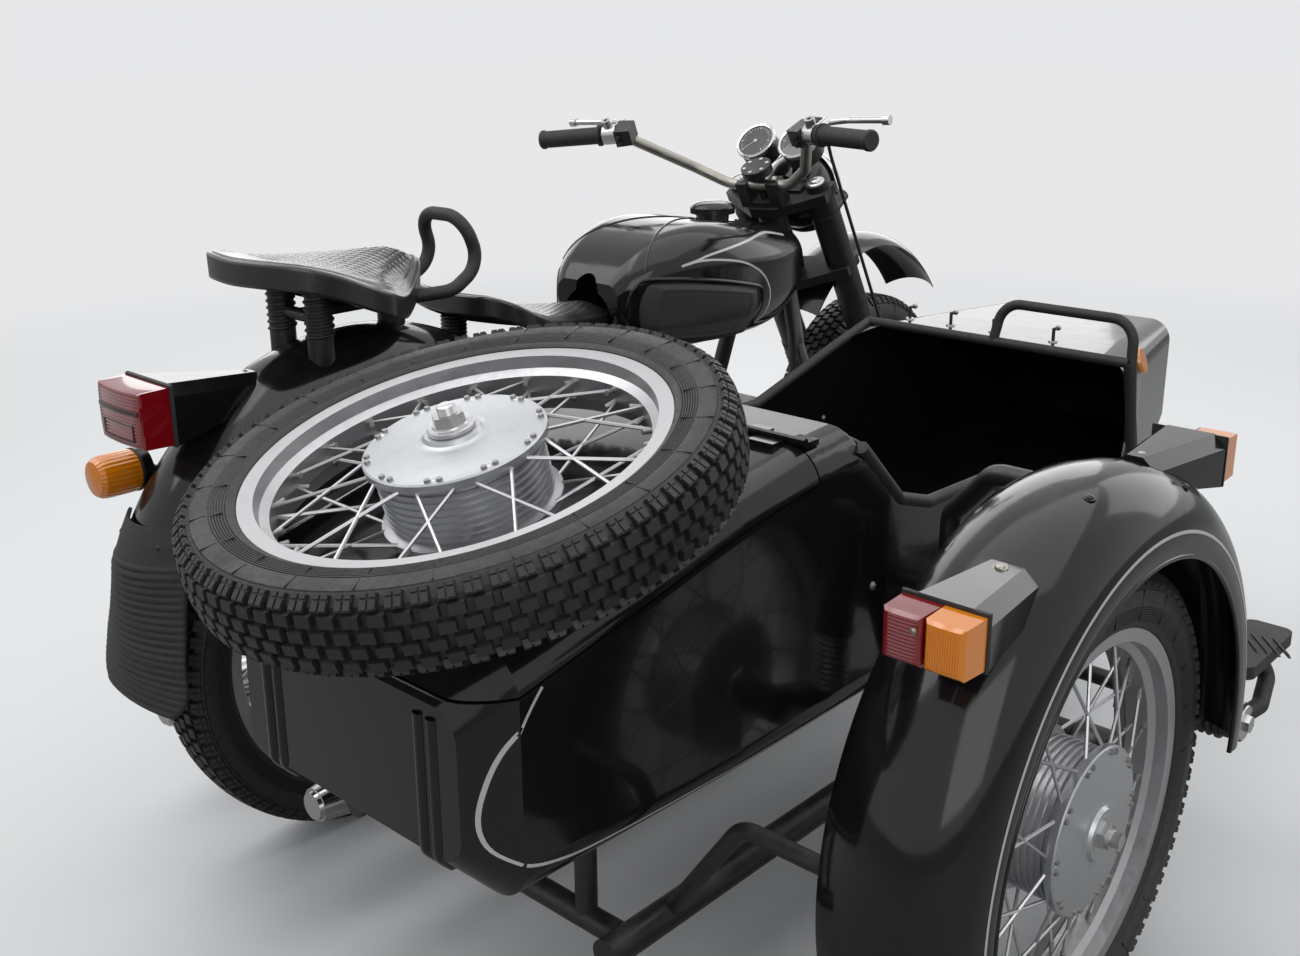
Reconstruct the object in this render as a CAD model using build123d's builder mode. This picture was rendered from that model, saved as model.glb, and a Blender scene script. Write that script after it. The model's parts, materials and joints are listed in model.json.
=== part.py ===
"""Flat-twin motorcycle with a passenger sidecar on the rider's right, in millimetres.

Working axes: X forward, Y to the rider's left, Z up, with zero on the floor under the rear axle.
The steered group is drawn upright in its own axes and then placed on the steering axis, and
every finished piece is moved so that zero lies under the middle of the whole outfit.
"""

from build123d import *
from math import cos, radians, sin
import os

os.makedirs("parts", exist_ok=True)

# Stance
WHEELBASE = 1480
TRACK = 1140
SIDECAR_AXLE_X = 234
RIM_SEAT_R = 241
TYRE_R = RIM_SEAT_R + 91
ORIGIN_X = 620
ORIGIN_Y = -425

# Clearances
FIT = 0.3
LID_GAP = 3

# Wire wheel
TYRE_HALF_W = 49
RIM_FLANGE_R = RIM_SEAT_R + 14
RIM_WELL_R = RIM_SEAT_R - 12
RIM_HALF_W = 40
RIM_WALL = 4
HUB_FLANGE_R = 108
HUB_DRUM_R = 97
HUB_HALF_W = 44
HUB_END_W = 60
AXLE_R = 10
SPOKE_R = 2.4
SPOKE_PAIRS = 10

# Steering
RAKE = 29
STEER_REST = 5.3
STEM_R = 14
HEAD_R = 30
HEAD_TOP = -24
HEAD_LOW = -184
FORK_OFFSET = 52
FORK_SPREAD = 95
FORK_SHROUD_R = 31
FORK_LEG_R = 26
FORK_DROP = 701
YOKE_T = 22

# Motorcycle frame
FRAME_TUBE_R = 17
FRAME_SPREAD = 145
FRAME_LOW_Z = 190
SPINE_Z = 760
SPINE_R = 20
SEAT_TUBE_SPREAD = 112
TUNNEL_HALF_W = 28

# Rear suspension and centre stand
SWING_X = 400
SWING_Z = TYRE_R
SWING_SPREAD = 86
SHOCK_X = 60
SHOCK_TOP_Z = 700
SHOCK_LOW_Z = TYRE_R + 8
SHOCK_PIN_R = 8
SHOCK_SPREAD = 165
SHOCK_END = 184
STAND_X = 420
STAND_Z = 150
STAND_PIN_R = 10
STAND_SPREAD = 175

# Engine
CRANK_X = 850
CRANK_Z = 330
CASE_HALF_W = 115
CYLINDER_REACH = 372
CYLINDER_STAGGER = 20
FIN_R = 68
FIN_T = 3.5
FIN_PITCH = 9
FIN_COUNT = 9

# Sidecar body
BODY_WALL = 5
BODY_LEFT = -320
BODY_RIGHT = 290 - TRACK
BODY_LOW = 380
COCKPIT_REAR = 200
COCKPIT_FRONT = 1000
BULKHEAD_T = 15
RIM_TUBE_R = 9
LID_SKIRT = 42
LID_FRONT = 112
HINGE_R = 4

# Sidecar chassis
CHASSIS_TUBE_R = 20
CHASSIS_Z = 238
CHASSIS_LEFT = -330
CHASSIS_RIGHT = 320 - TRACK
STRUT_R = 13
STRUT_END_Y = -138
ARM_X = 600
ARM_Y = 120 - TRACK
ARM_SHOCK_X = 310
ARM_SHOCK_RISE = (ARM_X - ARM_SHOCK_X) / (ARM_X - SIDECAR_AXLE_X) * (TYRE_R - CHASSIS_Z)
POST_Y = (CHASSIS_LEFT - 90, CHASSIS_RIGHT + 70)

# Spare wheel, its middle on the boot lid's axis
SPARE_X = -248.5
SPARE_Y = -603
SPARE_Z = 785
SPARE_TILT = 14.6

CENTRE_Y = (BODY_LEFT + BODY_RIGHT) / 2
ROW = Location((-ORIGIN_X, -ORIGIN_Y, 0))


# Shared forms, each used inside a part's own block

def bar(start, end, radius):
    """A straight round bar between two points."""
    run = Vector(*end) - Vector(*start)
    with BuildSketch(Plane(origin=start, z_dir=run)) as section:
        Circle(radius)
    extrude(section.sketch, amount=run.length)


def tube(points, bend, radius):
    """A round tube along straight runs that are joined by arcs."""
    with BuildLine() as path:
        FilletPolyline(*points, radius=bend)
    with BuildSketch(Plane(origin=path.line @ 0, z_dir=path.line % 0)) as section:
        Circle(radius)
    sweep(section.sketch, path=path.line)


def disc(centre, axis, radius, thickness):
    """A round plate whose middle plane holds the centre."""
    with BuildSketch(Plane(origin=centre, z_dir=axis)) as section:
        Circle(radius)
    extrude(section.sketch, amount=thickness / 2, both=True)


def blade(centre, crown_r, half_w, drop, wall, start, finish):
    """A mudguard blade: an arched strip turned about a crosswise axis, from angle to angle."""
    out = Vector(cos(radians(start)), 0, sin(radians(start)))
    plane = Plane(origin=centre, x_dir=out, z_dir=(-out.Z, 0, out.X))
    inner_w = half_w - wall
    edge_r = crown_r - drop
    with BuildSketch(plane) as section:
        with BuildLine():
            ThreePointArc((edge_r, half_w), (crown_r, 0), (edge_r, -half_w))
            Line((edge_r, -half_w), (edge_r, -inner_w))
            ThreePointArc((edge_r, -inner_w), (crown_r - wall, 0), (edge_r, inner_w))
            Line((edge_r, inner_w), (edge_r, half_w))
        make_face()
    revolve(section.sketch, axis=Axis(centre, (0, -1, 0)), revolution_arc=finish - start)


def under_blade(centre, crown_r, half_w, drop, start, finish):
    """The filled space below a mudguard blade's outer face, which shapes what stands on it."""
    out = Vector(cos(radians(start)), 0, sin(radians(start)))
    edge_r = crown_r - drop
    with BuildSketch(Plane(origin=centre, x_dir=out, z_dir=(-out.Z, 0, out.X))) as section:
        with BuildLine():
            ThreePointArc((edge_r, half_w), (crown_r, 0), (edge_r, -half_w))
            Polyline((edge_r, -half_w), (edge_r - 60, -half_w), (edge_r - 60, half_w), (edge_r, half_w))
        make_face()
    revolve(
        section.sketch, axis=Axis(centre, (0, -1, 0)), revolution_arc=finish - start, mode=Mode.SUBTRACT,
    )


# Wire wheel and tyre, about the Y axis

with BuildPart() as wheel:
    with BuildSketch(Plane.XY):
        with BuildLine():
            Polyline(
                (RIM_FLANGE_R, RIM_HALF_W),
                (RIM_FLANGE_R, RIM_HALF_W - RIM_WALL),
                (RIM_SEAT_R, RIM_HALF_W - RIM_WALL - 2),
                (RIM_SEAT_R - 2, RIM_HALF_W / 2),
                (RIM_WELL_R, RIM_HALF_W / 3),
                (RIM_WELL_R, -RIM_HALF_W / 3),
                (RIM_SEAT_R - 2, -RIM_HALF_W / 2),
                (RIM_SEAT_R, -(RIM_HALF_W - RIM_WALL - 2)),
                (RIM_FLANGE_R, -(RIM_HALF_W - RIM_WALL)),
                (RIM_FLANGE_R, -RIM_HALF_W),
                (RIM_SEAT_R - RIM_WALL, -(RIM_HALF_W - 2)),
                (RIM_SEAT_R - RIM_WALL - 2, -(RIM_HALF_W / 2 + 2)),
                (RIM_WELL_R - RIM_WALL, -(RIM_HALF_W / 3 + 2)),
                (RIM_WELL_R - RIM_WALL, RIM_HALF_W / 3 + 2),
                (RIM_SEAT_R - RIM_WALL - 2, RIM_HALF_W / 2 + 2),
                (RIM_SEAT_R - RIM_WALL, RIM_HALF_W - 2),
                close=True,
            )
        make_face()
    revolve(axis=Axis.Y)
    with BuildSketch(Plane.XY):
        with BuildLine():
            Polyline(
                (AXLE_R + FIT, HUB_END_W),
                (30, HUB_END_W),
                (34, HUB_HALF_W + 8),
                (HUB_FLANGE_R - 8, HUB_HALF_W + 2),
                (HUB_FLANGE_R, HUB_HALF_W),
                (HUB_FLANGE_R, HUB_HALF_W - 7),
                (HUB_DRUM_R, HUB_HALF_W - 10),
                (HUB_DRUM_R, -(HUB_HALF_W - 10)),
                (HUB_FLANGE_R, -(HUB_HALF_W - 7)),
                (HUB_FLANGE_R, -HUB_HALF_W),
                (HUB_FLANGE_R - 8, -(HUB_HALF_W + 2)),
                (34, -(HUB_HALF_W + 8)),
                (30, -HUB_END_W),
                (AXLE_R + FIT, -HUB_END_W),
                close=True,
            )
        make_face()
    revolve(axis=Axis.Y)
    spoke_planes = []
    spoke_run = 0
    for pair in range(SPOKE_PAIRS):
        for side in (1, -1):
            for lean in (1, -1):
                turn = 360 / SPOKE_PAIRS * (pair + (side + 1) / 4)
                hub_end = Vector(HUB_FLANGE_R - 6, side * (HUB_HALF_W - 4), 0)
                rim_end = Vector(RIM_WELL_R - 1, side * 7, 0)
                hub_end = hub_end.rotate(Axis.Y, turn + lean * 4)
                rim_end = rim_end.rotate(Axis.Y, turn + lean * 27)
                run = rim_end - hub_end
                spoke_run = run.length
                spoke_planes.append(Plane(origin=hub_end, z_dir=run))
    with BuildSketch(*spoke_planes):
        RegularPolygon(SPOKE_R, 6)
    extrude(amount=spoke_run)

with BuildPart() as tyre:
    with BuildSketch(Plane.XY):
        bead_r = RIM_SEAT_R + FIT
        bead_w = RIM_HALF_W - RIM_WALL - 2 - FIT
        lip_r = RIM_FLANGE_R + FIT
        shoulder_r = TYRE_R - 12
        wide_r = (lip_r + TYRE_R) / 2 - 2
        with BuildLine():
            Polyline((bead_r, -bead_w), (bead_r, bead_w), (lip_r, bead_w + 2), (lip_r, RIM_HALF_W))
            ThreePointArc((lip_r, RIM_HALF_W), (wide_r, TYRE_HALF_W), (shoulder_r, 40))
            ThreePointArc((shoulder_r, 40), (TYRE_R, 0), (shoulder_r, -40))
            ThreePointArc((shoulder_r, -40), (wide_r, -TYRE_HALF_W), (lip_r, -RIM_HALF_W))
            Polyline((lip_r, -RIM_HALF_W), (lip_r, -bead_w - 2), (bead_r, -bead_w))
        make_face()
    revolve(axis=Axis.Y)

# Steering axis

tilt = radians(RAKE)
level_x = Vector(cos(tilt), 0, -sin(tilt))
level_z = Vector(sin(tilt), 0, cos(tilt))
steer_x = Vector(cos(tilt), 0, sin(tilt))
steer_z = Vector(-sin(tilt), 0, cos(tilt))
steer_at = Vector(WHEELBASE, 0, TYRE_R) - steer_x * FORK_OFFSET + steer_z * FORK_DROP
straight = Plane(origin=steer_at, x_dir=steer_x, z_dir=steer_z)
STEERED = straight.location * Location((0, 0, 0), (0, 0, STEER_REST))


def head_point(x, y, z):
    """A point of the unturned steering axes, in working axes."""
    return straight.from_local_coords(Vector(x, y, z))


# Steered group, upright in its own axes: Z up the steering axis, X forward, Y to the left

LAMP_AT = Vector(134, 0, -62)
LAMP_R = 88
BAR_R = 11
BAR_CLAMP_X = -6
BAR_CLAMP_Z = 46
GRIP_R = 17
bar_points = [
    (-155, 385, 250), (-105, 225, 232), (-22, 134, 96), (BAR_CLAMP_X, 74, BAR_CLAMP_Z),
    (BAR_CLAMP_X, -74, BAR_CLAMP_Z), (-22, -134, 96), (-105, -225, 232), (-155, -385, 250),
]

with BuildPart() as fork:
    for side in (1, -1):
        leg = (FORK_OFFSET, side * FORK_SPREAD)
        bar((*leg, -430), (*leg, -YOKE_T + 4), FORK_SHROUD_R)
        bar((*leg, -FORK_DROP - 14), (*leg, -425), FORK_LEG_R)
        bar((*leg, -YOKE_T), (*leg, 16), 24)
        axle_end = side * (FORK_SPREAD + FORK_LEG_R + 6)
        bar((FORK_OFFSET, side * 64, -FORK_DROP), (FORK_OFFSET, axle_end, -FORK_DROP), 23)
    axle_half = FORK_SPREAD + FORK_LEG_R + 18
    bar((FORK_OFFSET, -axle_half, -FORK_DROP), (FORK_OFFSET, axle_half, -FORK_DROP), AXLE_R)
    for top in (0, HEAD_LOW - 2):
        with BuildSketch(Plane.XY.offset(top)):
            with BuildLine():
                Polyline(
                    (-30, 30), (FORK_OFFSET - 24, FORK_SPREAD + 28), (FORK_OFFSET + 28, FORK_SPREAD + 28),
                    (FORK_OFFSET + 8, 0), (FORK_OFFSET + 28, -FORK_SPREAD - 28),
                    (FORK_OFFSET - 24, -FORK_SPREAD - 28), (-30, -30), close=True,
                )
            make_face()
        extrude(amount=-YOKE_T)
    bar((0, 0, HEAD_LOW - 10), (0, 0, 30), STEM_R)
    bar((0, 0, 30), (0, 0, 70), 10)
    bar((0, 0, 70), (0, 0, 88), 32)
    with BuildSketch(Plane.XZ):
        with Locations((BAR_CLAMP_X, (BAR_CLAMP_Z + BAR_R) / 2)):
            Rectangle(34, BAR_CLAMP_Z + BAR_R)
    extrude(amount=50, both=True)
    with BuildSketch(Plane.XZ):
        with Locations((BAR_CLAMP_X, (BAR_CLAMP_Z + BAR_R) / 2 + 12)):
            Rectangle(40, BAR_CLAMP_Z + BAR_R)
    extrude(amount=24, both=True, mode=Mode.SUBTRACT)
    bar((0, 0, -10), (0, 0, 70), STEM_R - 3)
    clamp_end = (BAR_CLAMP_X, 60, BAR_CLAMP_Z)
    with BuildSketch(Plane(origin=clamp_end, z_dir=(0, -1, 0))):
        Circle(BAR_R + FIT)
    extrude(amount=120, mode=Mode.SUBTRACT)

with BuildPart() as handlebar:
    tube(bar_points, 52, BAR_R)

with BuildPart() as grips:
    for side in (1, -1):
        outer = Vector(*bar_points[0])
        inner = Vector(*bar_points[1])
        start = outer + (outer - inner).normalized() * 4
        end = outer + (inner - outer) * 0.78
        bar((start.X, side * start.Y, start.Z), (end.X, side * end.Y, end.Z), GRIP_R)
    add(handlebar.part, mode=Mode.SUBTRACT)

LEVER_TIP_X = -35
MIRROR_TOP = 34
MIRROR_THREAD_R = 4.25
MIRROR_THREAD_L = 12

with BuildPart() as levers:
    for side in (1, -1):
        outer = Vector(*bar_points[0])
        inner = Vector(*bar_points[1])
        perch = outer + (inner - outer) * 0.89
        along = (inner - outer).normalized() * 14
        bar(
            (perch.X - along.X, side * (perch.Y - along.Y), perch.Z - along.Z),
            (perch.X + along.X, side * (perch.Y + along.Y), perch.Z + along.Z), 20,
        )
        bar((perch.X + 12, side * perch.Y, perch.Z), (perch.X + 52, side * perch.Y, perch.Z - 6), 10)
        tube(
            [
                (perch.X + 46, side * (perch.Y - 10), perch.Z - 5),
                (perch.X + 60, side * (perch.Y + 40), perch.Z - 8),
                (LEVER_TIP_X - 32, side * 372, 236),
            ],
            30, 6,
        )
        disc((LEVER_TIP_X - 32, side * 374, 236), (0, 1, 0), 9, 14)
        bar((perch.X, side * perch.Y, perch.Z + 14), (perch.X, side * perch.Y, perch.Z + MIRROR_TOP), 10)
        with BuildSketch(Plane(origin=(perch.X, side * perch.Y, perch.Z + MIRROR_TOP), z_dir=(0, 0, -1))):
            Circle(MIRROR_THREAD_R)
        extrude(amount=MIRROR_THREAD_L, mode=Mode.SUBTRACT)
    add(handlebar.part, mode=Mode.SUBTRACT)

with BuildPart() as brake_cable:
    tube(
        [
            (-66, -236, 229), (-40, -190, 225), (60, -150, 160), (75, -133, 60), (75, -133, -560),
            (60, -128, -640), (FORK_OFFSET, -112, -682),
        ],
        26, 3.5,
    )
    add(levers.part, mode=Mode.SUBTRACT)
    add(fork.part, mode=Mode.SUBTRACT)

with BuildPart() as headlamp:
    with BuildSketch(Plane(origin=LAMP_AT, x_dir=(0, 1, 0), z_dir=level_x)):
        Circle(LAMP_R)
    extrude(amount=-14)
    with BuildSketch(Plane(origin=LAMP_AT - level_x * 14, x_dir=(0, 1, 0), z_dir=-level_x)):
        Circle(LAMP_R - 6)
    with BuildSketch(Plane(origin=LAMP_AT - level_x * 62, x_dir=(0, 1, 0), z_dir=-level_x)):
        Circle(LAMP_R - 20)
    with BuildSketch(Plane(origin=LAMP_AT - level_x * 88, x_dir=(0, 1, 0), z_dir=-level_x)):
        Circle(LAMP_R - 50)
    loft()
    bar((LAMP_AT.X - 10, -FORK_SPREAD, LAMP_AT.Z - 6), (LAMP_AT.X - 10, FORK_SPREAD, LAMP_AT.Z - 6), 12)
    for side in (1, -1):
        bar(
            (FORK_OFFSET, side * FORK_SPREAD, LAMP_AT.Z - 10),
            (LAMP_AT.X - 6, side * FORK_SPREAD, LAMP_AT.Z - 6), 14,
        )
    add(fork.part, mode=Mode.SUBTRACT)
    with BuildSketch(Plane(origin=LAMP_AT, x_dir=(0, 1, 0), z_dir=level_x)):
        Circle(LAMP_R - 8)
    extrude(amount=-6, mode=Mode.SUBTRACT)

with BuildPart() as headlamp_lens:
    with BuildSketch(Plane(origin=LAMP_AT - level_x * 6, x_dir=(0, 1, 0), z_dir=level_x)):
        Circle(LAMP_R - 8 - FIT)
    extrude(amount=5)

with BuildPart() as gauges:
    GAUGE_R = 42
    for side in (1, -1):
        with BuildSketch(Plane(origin=(92, side * 52, 88), x_dir=(0, 1, 0), z_dir=(-0.35, 0, 1))):
            Circle(GAUGE_R)
        extrude(amount=-42)
        bar((86, side * 52, 50), (60, side * 52, -8), 9)
    with BuildSketch(Plane(origin=(50, 0, 8), z_dir=(0, 0, 1))):
        Rectangle(40, 130)
    extrude(amount=-8 + FIT)
    bar((60, -52, 4), (60, 52, 4), 4)
    add(fork.part, mode=Mode.SUBTRACT)
    add(headlamp.part, mode=Mode.SUBTRACT)

FENDER_AT = Vector(FORK_OFFSET, 0, -FORK_DROP) + level_x * -32 + level_z * 97
FENDER_R = 385

with BuildPart() as front_fender:
    blade(FENDER_AT, FENDER_R, 66, 30, 2.5, 38 - RAKE, 138 - RAKE)
    add(fork.part, mode=Mode.SUBTRACT)

# Rear mudguard

REAR_FENDER_AT = (38, 0, 386)
REAR_FENDER_R = 444

with BuildPart() as rear_fender:
    blade(REAR_FENDER_AT, REAR_FENDER_R, 88, 45, 3, 34, 157)

# Motorcycle frame

with BuildPart() as frame:
    tube([(1128, 0, 805), (1000, 0, 775), (700, 0, 745), (470, 0, 728)], 150, SPINE_R)
    for side in (1, -1):
        tube(
            [
                (1146, side * 10, 790), (1085, side * 90, 640), (1035, side * FRAME_SPREAD, 330),
                (1000, side * FRAME_SPREAD, FRAME_LOW_Z), (330, side * FRAME_SPREAD, FRAME_LOW_Z),
                (290, side * 130, 420), (330, side * SEAT_TUBE_SPREAD, 715),
            ],
            60, FRAME_TUBE_R,
        )
        tube(
            [(500, 0, 730), (420, side * SEAT_TUBE_SPREAD, 715), (-70, side * SEAT_TUBE_SPREAD, 700)],
            50, FRAME_TUBE_R - 1,
        )
        shock_top = (SHOCK_X, side * SEAT_TUBE_SPREAD, SHOCK_TOP_Z)
        bar(shock_top, (SHOCK_X, side * SHOCK_END, SHOCK_TOP_Z), SHOCK_PIN_R)
        bar((SWING_X, side * 126, SWING_Z), (SWING_X, side * 152, SWING_Z), 24)
        bar((SWING_X, side * 140, SWING_Z), (303, side * 136, SWING_Z + 10), 12)
        bar((STAND_X, side * FRAME_SPREAD, FRAME_LOW_Z), (STAND_X, side * FRAME_SPREAD, STAND_Z - 8), 13)
        bar((STAND_X, side * FRAME_SPREAD, STAND_Z), (STAND_X, side * 186, STAND_Z), STAND_PIN_R)
    bar((SHOCK_X, -SEAT_TUBE_SPREAD, 702), (SHOCK_X, SEAT_TUBE_SPREAD, 702), 10)
    bar((SHOCK_X, 0, 702), (SHOCK_X, 0, 825.7), 8)
    for x in (620, 960):
        bar((x, -FRAME_SPREAD, 205), (x, FRAME_SPREAD, 205), 9)
    for x, z in ((660, 743), (1000, 775)):
        bar((x, -TUNNEL_HALF_W + FIT, z), (x, TUNNEL_HALF_W - FIT, z), 12)
    bar(tuple(head_point(0, 0, HEAD_LOW)), tuple(head_point(0, 0, HEAD_TOP)), HEAD_R)
    with BuildSketch(Plane(origin=head_point(0, 0, HEAD_LOW - 30), z_dir=steer_z)):
        Circle(STEM_R + FIT)
    extrude(amount=HEAD_TOP - HEAD_LOW + 60, mode=Mode.SUBTRACT)

# Engine, gearbox, cylinders

with BuildPart() as engine:
    with BuildSketch(Plane.XZ):
        with BuildLine():
            Polyline(
                (560, 250), (600, 214.3), (985, 214.3), (1005, 260), (1005, 470), (960, 540),
                (850, 540), (820, 470), (700, 440), (560, 430), close=True,
            )
        make_face()
    extrude(amount=CASE_HALF_W, both=True)
    fillet(edges().filter_by(Axis.Y), 12)
    bar((540, -SWING_SPREAD, SWING_Z), (600, -SWING_SPREAD, SWING_Z), 32)

with BuildPart() as cylinders:
    for side in (1, -1):
        x = CRANK_X + side * CYLINDER_STAGGER
        bar((x, side * CASE_HALF_W, CRANK_Z), (x, side * (CYLINDER_REACH - 50), CRANK_Z), FIN_R - 14)
        for fin in range(FIN_COUNT):
            disc((x, side * (CASE_HALF_W + 18 + fin * FIN_PITCH), CRANK_Z), (0, 1, 0), FIN_R, FIN_T)
        for fin in range(FIN_COUNT - 2):
            at = CASE_HALF_W + 26 + (FIN_COUNT + fin) * FIN_PITCH
            with BuildSketch(Plane(origin=(x, side * at, CRANK_Z), z_dir=(0, 1, 0))):
                RectangleRounded(FIN_R * 2 - 6, FIN_R * 2 - 6, 30)
            extrude(amount=FIN_T / 2, both=True)
        cap = CYLINDER_REACH - 52
        with BuildSketch(Plane(origin=(x, side * cap, CRANK_Z), z_dir=(0, side, 0))):
            RectangleRounded(112, 104, 40)
        extrude(amount=52, taper=12)

with BuildPart() as intake:
    for side in (1, -1):
        x = CRANK_X + side * CYLINDER_STAGGER - FIN_R - 4
        bar((x, side * 272, CRANK_Z + 15), (x - 70, side * 266, CRANK_Z + 15), 24)
        bar((x - 34, side * 269, CRANK_Z - 30), (x - 34, side * 269, CRANK_Z + 70), 20)
        tube(
            [
                (x - 66, side * 266, CRANK_Z + 15), (x - 120, side * 262, CRANK_Z + 15),
                (x - 160, side * 200, 460), (650, side * 40, 520),
            ],
            34, 18,
        )
    bar((650, 0, 440.3), (650, 0, 560), 72)
    add(engine.part, mode=Mode.SUBTRACT)

with BuildPart() as exhausts:
    for side in (1, -1):
        x = CRANK_X + side * CYLINDER_STAGGER
        tube(
            [
                (x + 52, side * 285, CRANK_Z - 30), (x + 96, side * 285, CRANK_Z - 62),
                (x + 96, side * 230, 190), (x + 10, side * 215, 185), (240, side * 215, 185),
            ],
            34, 19,
        )
        for x, radius in ((260, 20), (130, 40), (-150, 40), (-240, 26)):
            with BuildSketch(Plane(origin=(x, side * 215, 185), z_dir=(-1, 0, 0))):
                Circle(radius)
        loft(ruled=True)
    add(cylinders.part, mode=Mode.SUBTRACT)

# Rear suspension

with BuildPart() as swing_arm:
    bar((SWING_X, -125.7, SWING_Z), (SWING_X, 125.7, SWING_Z), 22)
    bar((SWING_X, SWING_SPREAD, SWING_Z), (0, SWING_SPREAD, TYRE_R), 18)
    bar((SWING_X, -SWING_SPREAD, SWING_Z), (0, -SWING_SPREAD, TYRE_R), 20)
    bar((539.7, -SWING_SPREAD, SWING_Z), (SWING_X, -SWING_SPREAD, SWING_Z), 12)
    bar((0, -60.3, TYRE_R), (0, -122, TYRE_R), 80)
    bar((0, 60.3, TYRE_R), (0, 104, TYRE_R), 24)
    bar((0, -134, TYRE_R), (0, 130, TYRE_R), AXLE_R)
    for side in (1, -1):
        bar((30, side * SWING_SPREAD, SHOCK_LOW_Z), (30, side * SHOCK_END, SHOCK_LOW_Z), SHOCK_PIN_R)

with BuildPart() as shock_absorbers:
    shock_eyes = [
        ((SHOCK_X, SHOCK_SPREAD, SHOCK_TOP_Z), (30, SHOCK_SPREAD, SHOCK_LOW_Z)),
        ((SHOCK_X, -SHOCK_SPREAD, SHOCK_TOP_Z), (30, -SHOCK_SPREAD, SHOCK_LOW_Z)),
        ((340, ARM_Y + 55, 610), (ARM_SHOCK_X, ARM_Y + 55, CHASSIS_Z + ARM_SHOCK_RISE)),
    ]
    for top, low in shock_eyes:
        span = Vector(*low) - Vector(*top)
        middle = Vector(*top) + span * 0.6
        bar(tuple(Vector(*top) + span * 0.03), tuple(middle), 27)
        bar(tuple(middle), tuple(Vector(*low) - span * 0.03), 21)
        for eye in (top, low):
            disc(eye, (0, 1, 0), 17, 30)
            with BuildSketch(Plane(origin=eye, z_dir=(0, 1, 0))):
                Circle(SHOCK_PIN_R + FIT)
            extrude(amount=40, both=True, mode=Mode.SUBTRACT)

# Tank and saddles

# x, half width, underside, top, corner radius
tank_sections = [
    (556, 78, 768, 826, 26),
    (600, 112, 712, 872, 44),
    (700, 150, 690, 914, 70),
    (900, 160, 690, 902, 74),
    (1050, 118, 722, 884, 56),
    (1160, 70, 820, 868, 23),
]

with BuildPart() as tank:
    for x, half_w, low, top, round_r in tank_sections:
        middle = (x, 0, (low + top) / 2)
        with BuildSketch(Plane(origin=middle, x_dir=(0, 1, 0), z_dir=(1, 0, 0))):
            RectangleRounded(half_w * 2, top - low, round_r)
    loft()
    split(bisect_by=Plane(origin=head_point(-62, 0, 0), x_dir=steer_z, z_dir=steer_x), keep=Keep.BOTTOM)
    with BuildSketch(Plane(origin=(520, 0, 752), z_dir=(1, 0, 0))):
        Circle(62)
    extrude(amount=92, mode=Mode.SUBTRACT)
    with BuildSketch(Plane(origin=(480, 0, 740), x_dir=(0, 1, 0), z_dir=(1, 0, 0))):
        SlotOverall(200, 2 * TUNNEL_HALF_W, rotation=90)
    extrude(amount=700, mode=Mode.SUBTRACT)
    bar((915, 0, 880), (915, 0, 914), 33)

with BuildPart() as filler_cap:
    bar((915, 0, 914), (915, 0, 936), 46)

with BuildPart() as knee_pads:
    for side in (1, -1):
        with BuildSketch(Plane.XZ.offset(-side * 120)):
            Polygon((592, 712), (598, 806), (650, 822), (868, 798), (892, 768), (842, 704), align=None)
            fillet(vertices(), 20)
        extrude(amount=-side * 48)
    add(tank.part, mode=Mode.SUBTRACT)

with BuildPart() as driver_saddle:
    with BuildSketch(Plane.XY.offset(700)):
        with BuildLine():
            Polyline((590, 40), (480, 62))
            ThreePointArc((480, 62), (330, 130), (236, 60))
            ThreePointArc((236, 60), (226, 0), (236, -60))
            ThreePointArc((236, -60), (330, -130), (480, -62))
            Polyline((480, -62), (590, -40))
            ThreePointArc((590, -40), (602, 0), (590, 40))
        make_face()
    extrude(amount=200)
    with BuildSketch(Plane.XZ):
        with BuildLine():
            Polyline((620, 758), (340, 772), (262, 790), (220, 830), (220, 860), (262, 848))
            Polyline((262, 848), (330, 806), (620, 782), (620, 758))
        make_face()
    extrude(amount=150, both=True, mode=Mode.INTERSECT)

with BuildPart() as pillion_saddle:
    with BuildSketch(Plane.XY.offset(800)):
        with BuildLine():
            Polyline((160, 45), (60, 66))
            ThreePointArc((60, 66), (-90, 128), (-172, 60))
            ThreePointArc((-172, 60), (-182, 0), (-172, -60))
            ThreePointArc((-172, -60), (-90, -128), (60, -66))
            Polyline((60, -66), (160, -45))
            ThreePointArc((160, -45), (170, 0), (160, 45))
        make_face()
    extrude(amount=260)
    with BuildSketch(Plane.XZ):
        with BuildLine():
            Polyline((180, 872), (150, 900), (-90, 905), (-190, 940), (-190, 968), (-90, 938))
            Polyline((-90, 938), (150, 934), (180, 920), (180, 872))
        make_face()
    extrude(amount=150, both=True, mode=Mode.INTERSECT)

with BuildPart() as saddle_mounts:
    for side in (1, -1):
        bar((330, side * SEAT_TUBE_SPREAD, 725), (330, side * SEAT_TUBE_SPREAD, 790), 20)
        bar((-60, side * 50, 790), (-60, side * 50, 925), 20)
    bar((540, 0, 735), (540, 0, 780), 14)
    bar((110, 0, 810), (110, 0, 925), 22)
    bar((-60, -50, 862), (-60, 50, 862), 10)
    bar((-60, 0, 862), (110, 0, 862), 10)
    add(frame.part, mode=Mode.SUBTRACT)
    add(driver_saddle.part, mode=Mode.SUBTRACT)
    add(pillion_saddle.part, mode=Mode.SUBTRACT)
    under_blade(REAR_FENDER_AT, REAR_FENDER_R + FIT, 88, 45, 30, 157)

with BuildPart() as grab_hoop:
    tube(
        [
            (125, -20, 862), (190, -62, 870), (250, -60, 905), (222, -56, 985),
            (222, 56, 985), (250, 60, 905), (190, 62, 870), (125, 20, 862),
        ],
        43, 11,
    )

# Foot controls

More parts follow.
